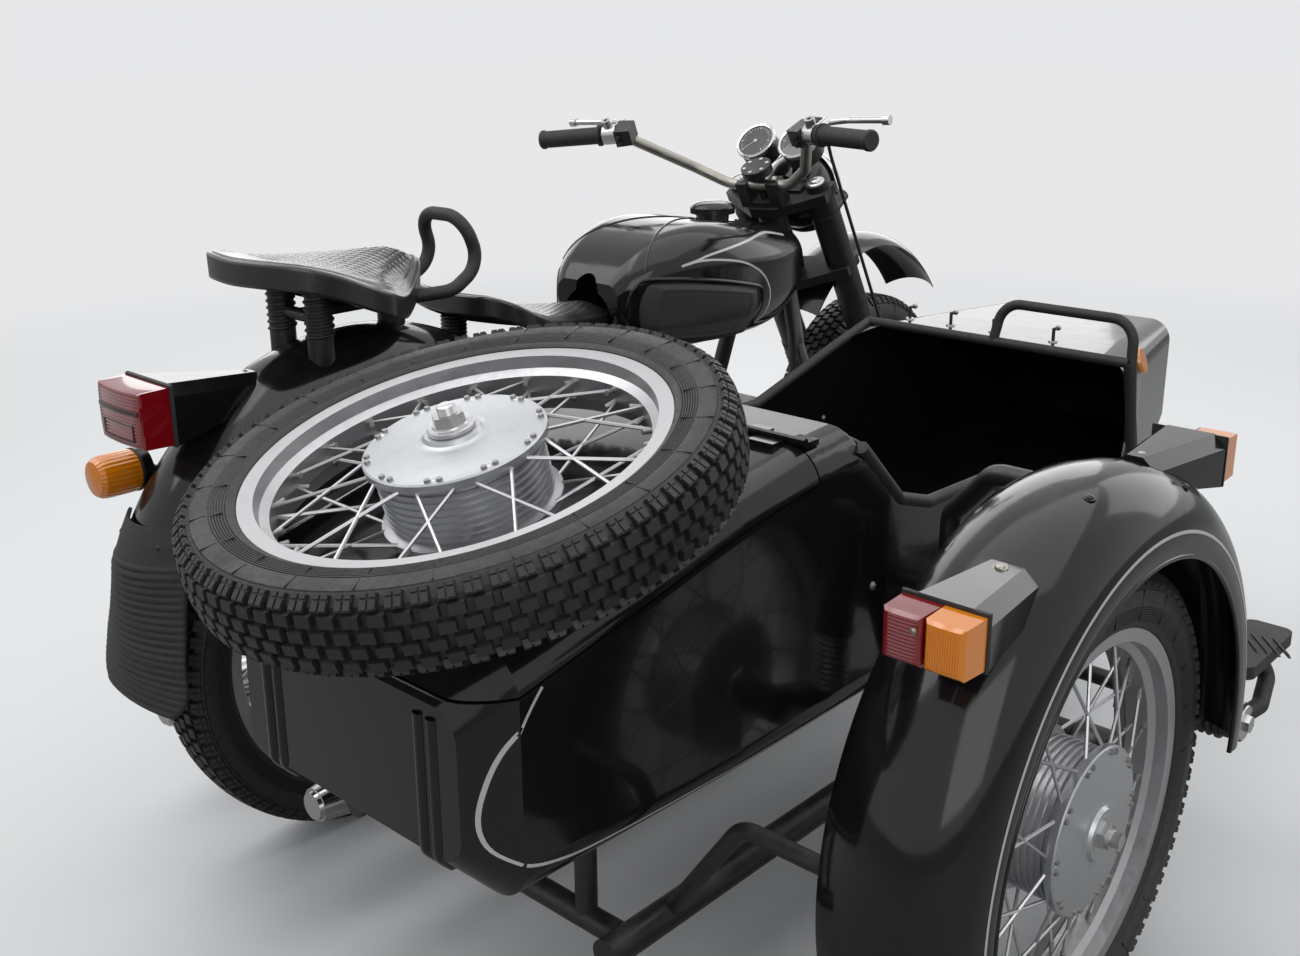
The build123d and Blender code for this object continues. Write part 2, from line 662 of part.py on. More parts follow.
with BuildPart() as foot_controls:
    for side in (1, -1):
        bar((560, side * FRAME_SPREAD, FRAME_LOW_Z), (560, side * FRAME_SPREAD, 246), 10)
        bar((560, side * (FRAME_SPREAD - 8), 240), (560, side * 285, 240), 11)
    bar((640, CASE_HALF_W, 262), (640, 170, 262), 9)
    bar((640, 164, 262), (735, 182, 262), 6)
    bar((735, 174, 262), (735, 225, 262), 9)
    bar((500, -FRAME_SPREAD, FRAME_LOW_Z), (500, -FRAME_SPREAD, 246), 9)
    bar((500, -FRAME_SPREAD, 240), (500, -180, 240), 8)
    bar((500, -176, 240), (700, -184, 262), 6)
    bar((700, -176, 262), (700, -225, 262), 9)
    bar((610, CASE_HALF_W, 395), (610, 150, 395), 12)
    bar((610, 144, 395), (560, 152, 520), 8)
    bar((560, 144, 520), (560, 235, 520), 10)
    add(frame.part, mode=Mode.SUBTRACT)

# Sidecar mudguard: outer lip, crown and a flat inner skirt

SIDE_FENDER_AT = (240, -TRACK, 362)
SIDE_FENDER_R = 425
SKIRT_Y = 90 - TRACK
side_start = Vector(cos(radians(-8)), 0, sin(radians(-8)))
side_plane = Plane(origin=(240, 0, 362), x_dir=side_start, z_dir=(-side_start.Z, 0, side_start.X))
side_axis = Axis((240, 0, 362), (0, -1, 0))

with BuildPart() as side_fender:
    with BuildSketch(side_plane):
        with BuildLine():
            ThreePointArc((326, -90 - TRACK), (398, -68 - TRACK), (SIDE_FENDER_R, -TRACK))
            ThreePointArc((SIDE_FENDER_R, -TRACK), (414, 56 - TRACK), (395, SKIRT_Y))
            Polyline((395, SKIRT_Y), (352, SKIRT_Y), (352, SKIRT_Y - 3), (394, SKIRT_Y - 3))
            ThreePointArc((394, SKIRT_Y - 3), (411, 54 - TRACK), (SIDE_FENDER_R - 3, -TRACK))
            ThreePointArc((SIDE_FENDER_R - 3, -TRACK), (396, -65 - TRACK), (326, -87 - TRACK))
            Line((326, -87 - TRACK), (326, -90 - TRACK))
        make_face()
    revolve(axis=side_axis, revolution_arc=198)

# Tail lamp, turn signal and sidecar mudguard lamps

TAIL_LAMP_X = -315
TAIL_LAMP_Z = 766
SIGNAL_AT = (-299, 104, 650)
LENS_W = 95
LENS_MID = -TRACK - 22
REAR_LENS_X = -112
FRONT_LENS_X = 512
FRONT_LENS_MID = -TRACK - 8

# Lamp cowls, each as two sections: x, middle y, width, underside, top
tail_cowl = [(-150, 0, 56, 750, 791), (TAIL_LAMP_X, 0, 123, 722, 810)]
rear_cowl = [(30, -TRACK - 12, 74, 690, 737), (REAR_LENS_X, LENS_MID, LENS_W + 3, 680, 744)]
front_cowl = [(342, -TRACK - 8, 56, 740, 781), (FRONT_LENS_X, FRONT_LENS_MID, LENS_W + 3, 709, 777)]

with BuildPart() as lamp_housings:
    for cowl in (tail_cowl, rear_cowl, front_cowl):
        facing = 1 if cowl[1][0] > cowl[0][0] else -1
        rows = []
        for x, y, width, low, top in cowl:
            with BuildSketch(Plane(origin=(x, y, low), x_dir=(0, facing, 0), z_dir=(facing, 0, 0))) as row:
                edge = width / 2
                Polygon(
                    (-edge, 0), (edge, 0), (edge, top - low - 16), (edge - 18, top - low),
                    (18 - edge, top - low), (-edge, top - low - 16), align=None,
                )
            rows.append(row.sketch)
        loft(sections=rows, ruled=True)
    bar((-262, 78, 640), (-284, 98, 655), 6)
    bar((-299, 104, 650), (-283, 104, 650), 32)
    under_blade(REAR_FENDER_AT, REAR_FENDER_R + FIT, 88, 45, 30, 157)
    with BuildSketch(side_plane) as fender_fill:
        with BuildLine():
            ThreePointArc((326, -90.3 - TRACK), (398.3, -68 - TRACK), (SIDE_FENDER_R + FIT, -TRACK))
            ThreePointArc((SIDE_FENDER_R + FIT, -TRACK), (414.3, 56 - TRACK), (395.4, SKIRT_Y))
            Polyline((395.4, SKIRT_Y), (290, SKIRT_Y), (290, -90.3 - TRACK), (326, -90.3 - TRACK))
        make_face()
    revolve(fender_fill.sketch, axis=side_axis, revolution_arc=198, mode=Mode.SUBTRACT)


def lens(x, middle, low, width, height, depth, slope):
    """A lens block standing out from its cowl, with its top and bottom edges bevelled."""
    facing = 1 if depth > 0 else -1
    face = Plane(origin=(x + facing * FIT, middle, low), x_dir=(0, facing, 0), z_dir=(facing, 0, 0))
    back = Plane(origin=(x + depth, middle, low + slope / 4), x_dir=(0, facing, 0), z_dir=(facing, 0, 0))
    with BuildSketch(face) as near:
        Rectangle(width, height, align=(Align.CENTER, Align.MIN))
    with BuildSketch(back) as far:
        Rectangle(width - 4, height - slope, align=(Align.CENTER, Align.MIN))
    loft(sections=[near.sketch, far.sketch], ruled=True)


with BuildPart() as red_lenses:
    lens(TAIL_LAMP_X, 0, 724, 120, 84, -53, 4)
    lens(REAR_LENS_X, LENS_MID + LENS_W / 4 + FIT, 683, LENS_W / 2, 57, -44, 12)

with BuildPart() as amber_lenses:
    lens(REAR_LENS_X, LENS_MID - LENS_W / 4 - FIT, 683, LENS_W / 2, 57, -44, 12)
    lens(FRONT_LENS_X, FRONT_LENS_MID, 713, LENS_W, 60, 44, 12)
    with BuildSketch(Plane(origin=(SIGNAL_AT[0] - FIT, 104, 650), z_dir=(-1, 0, 0))):
        Circle(31)
    extrude(amount=48)
    with BuildSketch(Plane(origin=(SIGNAL_AT[0] - FIT - 48, 104, 650), z_dir=(-1, 0, 0))):
        Circle(31)
    extrude(amount=19, taper=22)

# Mudflap rows: z, x of its middle, how far its edges stand forward, half width
flap_rows = [
    (604, -355.5, 30, 70), (582, -367, 38, 79), (561, -376.8, 49, 88), (543, -384, 49, 91),
    (420, -391, 30, 108), (337, -388, 18, 124),
]

with BuildPart() as mudflap:
    rows = []
    for z, x, bow, half_w in flap_rows:
        with BuildSketch(Plane.XY.offset(z)) as row:
            with BuildLine():
                ThreePointArc((x + bow, half_w), (x, 0), (x + bow, -half_w))
                Line((x + bow, -half_w), (x + bow + 6, -half_w))
                ThreePointArc((x + bow + 6, -half_w), (x + 6, 0), (x + bow + 6, half_w))
                Line((x + bow + 6, half_w), (x + bow, half_w))
            make_face()
        rows.append(row.sketch)
    loft(sections=rows, ruled=True)
    with BuildSketch(Plane.YZ.offset(-420)) as flap_outline:
        Polygon((-124, 337), (124, 337), (130, 610), (-130, 610), align=None)
        fillet(vertices().group_by(Axis.Y)[0], 48)
    extrude(flap_outline.sketch, amount=120, mode=Mode.INTERSECT)

# Sidecar body: x, left side, right side, underside, top, corner radius

body_sections = [
    (-432, -396, BODY_RIGHT + 58, 430, 612, 36),
    (-388, -334, BODY_RIGHT + 8, 384, 676, 50),
    (-37, BODY_LEFT, BODY_RIGHT, BODY_LOW, 757, 52),
    (112, BODY_LEFT, BODY_RIGHT, BODY_LOW, 779, 52),
    (COCKPIT_REAR, BODY_LEFT, BODY_RIGHT, BODY_LOW, 785, 52),
    (COCKPIT_FRONT, BODY_LEFT, BODY_RIGHT, BODY_LOW, 728, 52),
    (1150, -350, BODY_RIGHT + 38, BODY_LOW, 726, 50),
    (1398, -405, BODY_RIGHT + 93, 500, 721, 40),
]


def body_values(x):
    """The body's left side, right side, underside, top and corner radius at a station."""
    for first, last in zip(body_sections, body_sections[1:]):
        if first[0] <= x <= last[0]:
            share = (x - first[0]) / (last[0] - first[0])
            return [a + (b - a) * share for a, b in zip(first[1:], last[1:])]


def body_form(stations, inset, mode):
    """The body's outer form, or its hollow where inset, through stations along it."""
    rows = []
    for x in stations:
        left, right, low, top, round_r = body_values(x)
        middle = (x, (left + right) / 2, (low + top) / 2)
        with BuildSketch(Plane(origin=middle, x_dir=(0, 1, 0), z_dir=(1, 0, 0))) as section:
            RectangleRounded(left - right - 2 * inset, top - low - 2 * inset, round_r - inset)
        rows.append(section.sketch)
    loft(sections=rows, ruled=True, mode=mode)


# Reach of the openings' cuts past the body's sides
BODY_HALF_W = (BODY_LEFT - BODY_RIGHT) / 2
CUT_REACH = BODY_HALF_W + 60

# Openings seen from the side, as x and z along their edges
left_rim = [(COCKPIT_REAR, 785), (340, 690), (490, 634), (655, 630), (897, 697), (1006, 724)]
right_rim = [
    (COCKPIT_REAR, 785), (205, 762), (300, 668), (377, 643), (529, 638), (575, 614), (612, 530), (650, 505),
    (960, 505), (1030, 530), (1052, 570), (1006, 724),
]
lid_line = [(-440, 618), (-388, 634), (-37, 715), (LID_FRONT, 737)]
lid_stations = [-432, -388, -37, LID_FRONT]
boot_stations = [-432 + BODY_WALL, -388, -37, 112, COCKPIT_REAR - BULKHEAD_T]
cockpit_stations = [COCKPIT_REAR, COCKPIT_FRONT, 1150, 1398 - BODY_WALL]

with BuildPart() as sidecar_body:
    body_form([row[0] for row in body_sections], 0, Mode.ADD)
    body_form(boot_stations, BODY_WALL, Mode.SUBTRACT)
    body_form(cockpit_stations, BODY_WALL, Mode.SUBTRACT)
    for rim, y in ((left_rim, CENTRE_Y + CUT_REACH), (right_rim, CENTRE_Y)):
        with BuildSketch(Plane(origin=(0, y, 0), x_dir=(1, 0, 0), z_dir=(0, -1, 0))):
            Polygon(*rim, (1006, 900), (COCKPIT_REAR, 900), align=None)
        extrude(amount=CUT_REACH, mode=Mode.SUBTRACT)
    with BuildSketch(Plane(origin=(0, CENTRE_Y, 0), x_dir=(1, 0, 0), z_dir=(0, -1, 0))):
        low_line = [(x, z - LID_GAP) for x, z in lid_line[:-1]]
        front_x = LID_FRONT + LID_GAP
        Polygon((-500, 900), (-500, 600), *low_line, (front_x, 734), (front_x, 900), align=None)
    extrude(amount=CUT_REACH, both=True, mode=Mode.SUBTRACT)

with BuildPart() as trunk_lid:
    body_form(lid_stations, 0, Mode.ADD)
    body_form([-432 + BODY_WALL, -388, -37, LID_FRONT - BODY_WALL], BODY_WALL, Mode.SUBTRACT)
    with BuildSketch(Plane(origin=(0, CENTRE_Y, 0), x_dir=(1, 0, 0), z_dir=(0, -1, 0))):
        lid_end = LID_FRONT + 10
        Polygon((-500, 300), (-500, 600), *lid_line, (lid_end, 737), (lid_end, 300), align=None)
    extrude(amount=CUT_REACH, both=True, mode=Mode.SUBTRACT)

SPARE_AXIS = Vector(-0.251, 0.02, 0.968).normalized()
SPARE_AT = Vector(SPARE_X, SPARE_Y, SPARE_Z)
spare_plane = Plane(origin=SPARE_AT, x_dir=(0.968, 0, 0.251), z_dir=SPARE_AXIS)
SPARE_PLACE = spare_plane.location * Location((0, 0, 0), (90, 0, 0))

with BuildPart() as spare_mount:
    bar(tuple(SPARE_AT - SPARE_AXIS * 82), tuple(SPARE_AT - SPARE_AXIS * (HUB_END_W + FIT)), 42)
    bar(tuple(SPARE_AT - SPARE_AXIS * 76), tuple(SPARE_AT + SPARE_AXIS * (HUB_END_W + 30)), AXLE_R)
    nut_foot = SPARE_AT + SPARE_AXIS * (HUB_END_W + 6)
    bar(tuple(SPARE_AT + SPARE_AXIS * (HUB_END_W + FIT)), tuple(nut_foot), 26)
    bar(tuple(nut_foot), tuple(nut_foot + SPARE_AXIS * 14), 17)

HINGE_X = LID_FRONT + LID_GAP / 2
HINGE_Z = 785
HINGE_PIN_R = 5
hinge_at = (BODY_LEFT - 75, BODY_RIGHT + 75)

with BuildPart() as lid_hinges:
    for y in hinge_at:
        bar((HINGE_X, y + 20, HINGE_Z), (HINGE_X, y - 20, HINGE_Z), HINGE_PIN_R)
        with Locations((HINGE_X - 14, y, HINGE_Z - 6)):
            Box(28, 40, 8)

with BuildPart() as body_hinges:
    for y in hinge_at:
        for end in (20.5, -50.5):
            bar((HINGE_X, y + end + 30, HINGE_Z), (HINGE_X, y + end, HINGE_Z), HINGE_PIN_R)
            with Locations((HINGE_X + 14, y + end + 15, HINGE_Z - 5)):
                Box(28, 30, 8)

with BuildPart() as lid_whole:
    add(trunk_lid.part)
    add(spare_mount.part)
    add(lid_hinges.part)

with BuildPart() as body_whole:
    add(sidecar_body.part)
    add(body_hinges.part)

with BuildPart() as cockpit_rim:
    for rim, y in ((left_rim, BODY_LEFT - 3), (right_rim, BODY_RIGHT + 3)):
        tube([(x, y, z) for x, z in rim[1:]], 14, RIM_TUBE_R)
    bar((1006, BODY_LEFT - 3, 724), (1006, BODY_RIGHT + 3, 724), RIM_TUBE_R)
    tube(
        [
            (1048, BODY_RIGHT + 1, 540), (1012, BODY_RIGHT + 1, 720), (1018, BODY_RIGHT + 4, 795),
            (1018, -600, 795), (1006, -590, 724),
        ],
        40, RIM_TUBE_R,
    )
    for y in (-380, -470, -560, -680):
        bar((1060, y, 726), (1060, y, 752), 3)
        bar((1060, y, 750), (1075, y, 750), 3)
    add(body_whole.part, mode=Mode.SUBTRACT)

with BuildPart() as sidecar_seats:
    with Locations((435, CENTRE_Y, 446)):
        Box(400, 2 * BODY_HALF_W + 40, 120)
    fillet(edges().filter_by(Axis.Z), 40)
    with BuildSketch(Plane.XZ.offset(-CENTRE_Y)):
        Polygon((COCKPIT_REAR + FIT, 507), (310, 507), (262, 755), (COCKPIT_REAR + FIT, 755), align=None)
    extrude(amount=BODY_HALF_W - 15, both=True)
    body_form(cockpit_stations, BODY_WALL + FIT, Mode.INTERSECT)

# Sidecar chassis, its struts to the motorcycle, and its wheel arm

STEP_PIVOT_X = 780
STEP_PIVOT_Z = 256

with BuildPart() as sidecar_frame:
    for y in (CHASSIS_LEFT, CHASSIS_RIGHT):
        bar((-250, y, CHASSIS_Z), (1060, y, CHASSIS_Z), CHASSIS_TUBE_R)
    for x in (-210, 920):
        bar((x, CHASSIS_LEFT, CHASSIS_Z), (x, CHASSIS_RIGHT, CHASSIS_Z), 16)
        for y in POST_Y:
            bar((x, y, CHASSIS_Z), (x, y, BODY_LOW - FIT), 14)
    bar((ARM_X, CHASSIS_LEFT, CHASSIS_Z), (ARM_X, ARM_Y + 30, CHASSIS_Z), 22)
    bar((ARM_X, ARM_Y + 40, CHASSIS_Z), (ARM_X, ARM_Y - 32, CHASSIS_Z), 12)
    tube(
        [
            (340, CHASSIS_RIGHT, CHASSIS_Z), (340, ARM_Y + 115, 480), (340, ARM_Y + 115, 650),
            (305, ARM_Y + 35, 732), (305, SKIRT_Y + FIT, 732),
        ],
        34, 14,
    )
    bar((340, ARM_Y + 115, 610), (340, ARM_Y + 36, 610), SHOCK_PIN_R)
    for rail_x, skirt_x in ((-140, -134), (640, 614)):
        tube(
            [(rail_x, CHASSIS_RIGHT, CHASSIS_Z), (skirt_x, ARM_Y + 90, 401), (skirt_x, SKIRT_Y + FIT, 401)],
            34, 11,
        )
    bar((STEP_PIVOT_X, CHASSIS_RIGHT, STEP_PIVOT_Z), (STEP_PIVOT_X, -TRACK - 9.7, STEP_PIVOT_Z), 14)

with BuildPart() as sidecar_struts:
    bar((1020, STRUT_END_Y, 270), (1040, CHASSIS_LEFT, 240), STRUT_R)
    bar((311, STRUT_END_Y, 300), (280, CHASSIS_LEFT, 240), STRUT_R)
    bar((1088, -84, 650), (1000, CHASSIS_LEFT, 240), STRUT_R)
    bar((330, -SEAT_TUBE_SPREAD, 712), (150, CHASSIS_LEFT, 240), STRUT_R)
    add(frame.part, mode=Mode.SUBTRACT)
    add(sidecar_frame.part, mode=Mode.SUBTRACT)

with BuildPart() as sidecar_swing_arm:
    bar((ARM_X, ARM_Y + 26, CHASSIS_Z), (ARM_X, ARM_Y - 26, CHASSIS_Z), 28)
    bar((ARM_X, ARM_Y, CHASSIS_Z), (SIDECAR_AXLE_X, ARM_Y, TYRE_R), 21)
    bar((SIDECAR_AXLE_X, ARM_Y + 26, TYRE_R), (SIDECAR_AXLE_X, -TRACK + HUB_END_W + FIT, TYRE_R), 27)
    bar((SIDECAR_AXLE_X, ARM_Y, TYRE_R), (SIDECAR_AXLE_X, -TRACK - HUB_END_W - 22, TYRE_R), AXLE_R)
    shock_low_z = CHASSIS_Z + ARM_SHOCK_RISE
    bar((ARM_SHOCK_X, ARM_Y, shock_low_z), (ARM_SHOCK_X, ARM_Y + 74, shock_low_z), SHOCK_PIN_R)
    with BuildSketch(Plane(origin=(ARM_X, ARM_Y + 30, CHASSIS_Z), z_dir=(0, -1, 0))):
        Circle(12 + FIT)
    extrude(amount=60, mode=Mode.SUBTRACT)

with BuildPart() as step_bellows:
    bar((STEP_PIVOT_X, 50 - TRACK, STEP_PIVOT_Z), (STEP_PIVOT_X, -TRACK - 9, STEP_PIVOT_Z), 35)
    with BuildSketch(Plane(origin=(STEP_PIVOT_X, 60 - TRACK, STEP_PIVOT_Z), z_dir=(0, -1, 0))):
        Circle(14 + FIT)
    extrude(amount=80, mode=Mode.SUBTRACT)

with BuildPart() as side_step:
    bar((STEP_PIVOT_X, -TRACK - 10, STEP_PIVOT_Z), (STEP_PIVOT_X, -TRACK - 38, STEP_PIVOT_Z), 30)
    tube(
        [
            (STEP_PIVOT_X, -TRACK - 24, STEP_PIVOT_Z), (840, -TRACK - 38, 262), (905, -TRACK - 24, 284),
            (905, -TRACK, 320),
        ],
        18, 13,
    )
    with Locations((893, 5 - TRACK, 326)):
        Box(190, 76, 21)
    fillet(edges().filter_by(Axis.Z), 18)

# Centre stand, folded back under the frame

with BuildPart() as centre_stand:
    for side in (1, -1):
        bar((STAND_X, side * (STAND_SPREAD - 9), STAND_Z), (STAND_X, side * (STAND_SPREAD + 9), STAND_Z), 19)
        bar((STAND_X, side * STAND_SPREAD, STAND_Z), (STAND_X - 138, side * STAND_SPREAD, STAND_Z), 8)
    bar((STAND_X - 90, -STAND_SPREAD, STAND_Z), (STAND_X - 90, STAND_SPREAD, STAND_Z), 8)
    with BuildSketch(Plane(origin=(STAND_X, 200, STAND_Z), z_dir=(0, -1, 0))):
        Circle(STAND_PIN_R + FIT)
    extrude(amount=400, mode=Mode.SUBTRACT)

HOME = Location()
FRONT_AXLE = STEERED * Location((FORK_OFFSET, 0, -FORK_DROP))
REAR_AXLE = Location((0, 0, TYRE_R))
SIDE_AXLE = Location((SIDECAR_AXLE_X, -TRACK, TYRE_R))
save_list = {
    "fork": (fork, STEERED), "handlebar": (handlebar, STEERED), "grips": (grips, STEERED),
    "brake_cable": (brake_cable, STEERED), "headlamp": (headlamp, STEERED),
    "headlamp_lens": (headlamp_lens, STEERED), "levers": (levers, STEERED),
    "gauges": (gauges, STEERED), "front_fender": (front_fender, STEERED),
    "front_wheel": (wheel, FRONT_AXLE), "front_tyre": (tyre, FRONT_AXLE),
    "rear_wheel": (wheel, REAR_AXLE), "rear_tyre": (tyre, REAR_AXLE),
    "frame": (frame, HOME), "engine": (engine, HOME), "cylinders": (cylinders, HOME),
    "intake": (intake, HOME), "exhausts": (exhausts, HOME), "swing_arm": (swing_arm, HOME),
    "shock_absorbers": (shock_absorbers, HOME), "tank": (tank, HOME), "filler_cap": (filler_cap, HOME),
    "knee_pads": (knee_pads, HOME), "driver_saddle": (driver_saddle, HOME),
    "pillion_saddle": (pillion_saddle, HOME), "saddle_mounts": (saddle_mounts, HOME),
    "rear_fender": (rear_fender, HOME), "grab_hoop": (grab_hoop, HOME), "mudflap": (mudflap, HOME),
    "foot_controls": (foot_controls, HOME), "lamp_housings": (lamp_housings, HOME),
    "red_lenses": (red_lenses, HOME), "amber_lenses": (amber_lenses, HOME),
    "sidecar_body": (body_whole, HOME), "cockpit_rim": (cockpit_rim, HOME),
    "sidecar_seats": (sidecar_seats, HOME), "sidecar_frame": (sidecar_frame, HOME),
    "sidecar_struts": (sidecar_struts, HOME), "sidecar_swing_arm": (sidecar_swing_arm, HOME),
    "sidecar_fender": (side_fender, HOME), "side_step": (side_step, HOME),
    "step_bellows": (step_bellows, HOME),
    "trunk_lid": (lid_whole, HOME), "spare_wheel": (wheel, SPARE_PLACE), "spare_tyre": (tyre, SPARE_PLACE),
    "sidecar_wheel": (wheel, SIDE_AXLE), "sidecar_tyre": (tyre, SIDE_AXLE),
    "centre_stand": (centre_stand, HOME),
}
for name, (piece, place) in save_list.items():
    placed = piece.part.moved(ROW * place)
    placed.label = name
    export_step(placed, f"parts/{name}.step")
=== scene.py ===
"""Looks of a flat-twin motorcycle with a passenger sidecar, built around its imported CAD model."""

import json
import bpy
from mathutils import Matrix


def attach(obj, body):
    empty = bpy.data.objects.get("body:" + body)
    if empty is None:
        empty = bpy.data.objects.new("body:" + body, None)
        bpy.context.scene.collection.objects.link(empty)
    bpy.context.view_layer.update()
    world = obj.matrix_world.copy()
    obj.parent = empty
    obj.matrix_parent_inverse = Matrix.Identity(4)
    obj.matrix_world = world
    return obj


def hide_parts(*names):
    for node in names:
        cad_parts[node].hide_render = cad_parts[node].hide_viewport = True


bl_info = {
    "name": "Sidecar motorcycle looks",
    "version": (1, 0, 0),
    "blender": (4, 5, 0),
    "location": "View3D > Sidebar > Sidecar outfit",
    "description": "Builds tyres, saddles, trim, lamps and finishes around the CAD frame",
    "category": "Object",
}

from math import atan2, ceil, cos, exp, pi, radians, sin, sqrt

import bmesh
import bpy
from bpy.props import FloatProperty, FloatVectorProperty, IntProperty, PointerProperty
from mathutils import Matrix, Vector
from mathutils.bvhtree import BVHTree

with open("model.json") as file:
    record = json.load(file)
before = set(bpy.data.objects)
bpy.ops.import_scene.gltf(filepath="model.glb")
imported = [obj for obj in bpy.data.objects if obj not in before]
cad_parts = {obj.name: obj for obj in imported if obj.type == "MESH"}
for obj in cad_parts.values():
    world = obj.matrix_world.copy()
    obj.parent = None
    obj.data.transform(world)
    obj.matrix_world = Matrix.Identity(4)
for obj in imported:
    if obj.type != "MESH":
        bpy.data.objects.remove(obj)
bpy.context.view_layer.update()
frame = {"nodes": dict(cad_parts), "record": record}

# Lengths are millimetres in the part's working axes, with zero on the ground under the rear axle:
# X ahead, Y left and Z up. WORK turns them into the row frame, in metres.
MM = 0.001
WORK = Matrix.Scale(MM, 4) @ Matrix.Translation((-620, 425, 0))
AHEAD, BACK, LEFT, RIGHT, UP = (1, 0, 0), (-1, 0, 0), (0, 1, 0), (0, -1, 0), (0, 0, 1)

AXLE_Z = 332
WHEELBASE = 1480
SIDECAR_AXLE = (234, -1140, AXLE_Z)

# The steering axes stand in the head, with Z along it. The front axle lies at FORK_X and FORK_Z in them.
RAKE = radians(29)
STEER_REST = radians(5.3)
FORK_X, FORK_Z = 52, -701
STEER_AT = Vector((
    WHEELBASE - FORK_X * cos(RAKE) + FORK_Z * sin(RAKE), 0,
    AXLE_Z - FORK_X * sin(RAKE) - FORK_Z * cos(RAKE),
))
HEAD_TILT = Matrix.Rotation(-RAKE, 4, "Y")
STEER = WORK @ Matrix.Translation(STEER_AT) @ HEAD_TILT @ Matrix.Rotation(STEER_REST, 4, "Z")
ON_FORK = {"body": "steering", "place": STEER}

SPARE_AXIS = Vector((-0.251, 0.02, 0.968)).normalized()
SPARE_AT = Vector((-248.5, -603, 785))
spare_z = SPARE_AXIS.cross(Vector(LEFT)).normalized()
spare_x = SPARE_AXIS.cross(spare_z).normalized()
SPARE_TURN = Matrix((spare_x, SPARE_AXIS, spare_z)).transposed().to_4x4()

# Wheel name: its axle's place, with Y along the axle, and the body it turns with
wheels = {
    "front": (STEER @ Matrix.Translation((FORK_X, 0, FORK_Z)), "front_wheel_body"),
    "rear": (WORK @ Matrix.Translation((0, 0, AXLE_Z)), "rear_wheel_body"),
    "sidecar": (WORK @ Matrix.Translation(SIDECAR_AXLE), "sidecar_wheel_body"),
    "spare": (WORK @ Matrix.Translation(SPARE_AT) @ SPARE_TURN, "boot_lid"),
}

# Stands a turned shape's axis, which is Y, along Z
UPRIGHT = Matrix.Rotation(radians(90), 4, "X")


class TyreSettings(bpy.types.PropertyGroup):
    """Sizes of the block tread."""

    tread_pitches: IntProperty(
        name="Tread pitches", description="Blocks round the tyre", default=78, min=20,
    )
    tread_depth: FloatProperty(name="Tread depth", description="Height of the blocks, mm", default=7.0)


def colour_property(name, description, default):
    """A setting that is a colour."""
    return FloatVectorProperty(name=name, description=description, subtype="COLOR", default=default)


class FinishSettings(bpy.types.PropertyGroup):
    """Colours of the main finishes."""

    paint: colour_property("Paint", "Body paint", (0.008, 0.008, 0.009))
    stripe: colour_property("Stripe", "Pinstripes", (0.62, 0.6, 0.55))
    red: colour_property("Red lens", "Tail lenses", (0.24, 0.003, 0.008))
    amber: colour_property("Amber lens", "Signals", (0.86, 0.25, 0.002))
    stripe_width: FloatProperty(
        name="Stripe width", description="Width of the pinstripes, mm", default=4.0,
    )


# Materials

def add_node(tree, kind, sockets=None, **values):
    """Adds a node with its settings, and with the values of the sockets that have a name or a number."""
    node = tree.nodes.new(kind)
    for key, value in values.items():
        if hasattr(node, key):
            setattr(node, key, value)
        else:
            node.inputs[key.replace("_", " ")].default_value = value
    for key, value in (sockets or {}).items():
        node.inputs[key].default_value = value
    return node


def wire(tree, *links):
    """Links sockets, each link given as a node, its output, the next node and its input."""
    for source, output, target, entry in links:
        tree.links.new(source.outputs[output], target.inputs[entry])


def make_group(name, numbers, outputs):
    """An empty shader node group with float inputs and named outputs."""
    group = bpy.data.node_groups.new(name, "ShaderNodeTree")
    group.interface.new_socket("Vector", in_out="INPUT", socket_type="NodeSocketVector")
    for key, value in numbers.items():
        socket = group.interface.new_socket(key, in_out="INPUT", socket_type="NodeSocketFloat")
        socket.default_value = value
    for key in outputs:
        group.interface.new_socket(key, in_out="OUTPUT", socket_type="NodeSocketFloat")
    return group, group.nodes.new("NodeGroupInput"), group.nodes.new("NodeGroupOutput")


def speckle_group():
    """Fine and broad noise mixed: an uneven value between Low and High, and a height."""
    numbers = {"Scale": 60.0, "Low": 0.2, "High": 0.4}
    group, entry, leave = make_group("uneven_surface", numbers, ["Value", "Height"])
    broad = add_node(group, "ShaderNodeTexNoise", Detail=6.0, Roughness=0.6)
    fine = add_node(group, "ShaderNodeTexNoise", Detail=3.0)
    finer = add_node(group, "ShaderNodeMath", {1: 9.0}, operation="MULTIPLY")
    spread = add_node(group, "ShaderNodeMapRange", From_Min=0.3, From_Max=0.7)
    wire(
        group, (entry, "Vector", broad, "Vector"), (entry, "Vector", fine, "Vector"),
        (entry, "Scale", broad, "Scale"), (entry, "Scale", finer, 0), (finer, 0, fine, "Scale"),
        (broad, "Fac", spread, "Value"), (entry, "Low", spread, "To Min"),
        (entry, "High", spread, "To Max"),
        (spread, "Result", leave, "Value"), (fine, "Fac", leave, "Height"),
    )
    return group


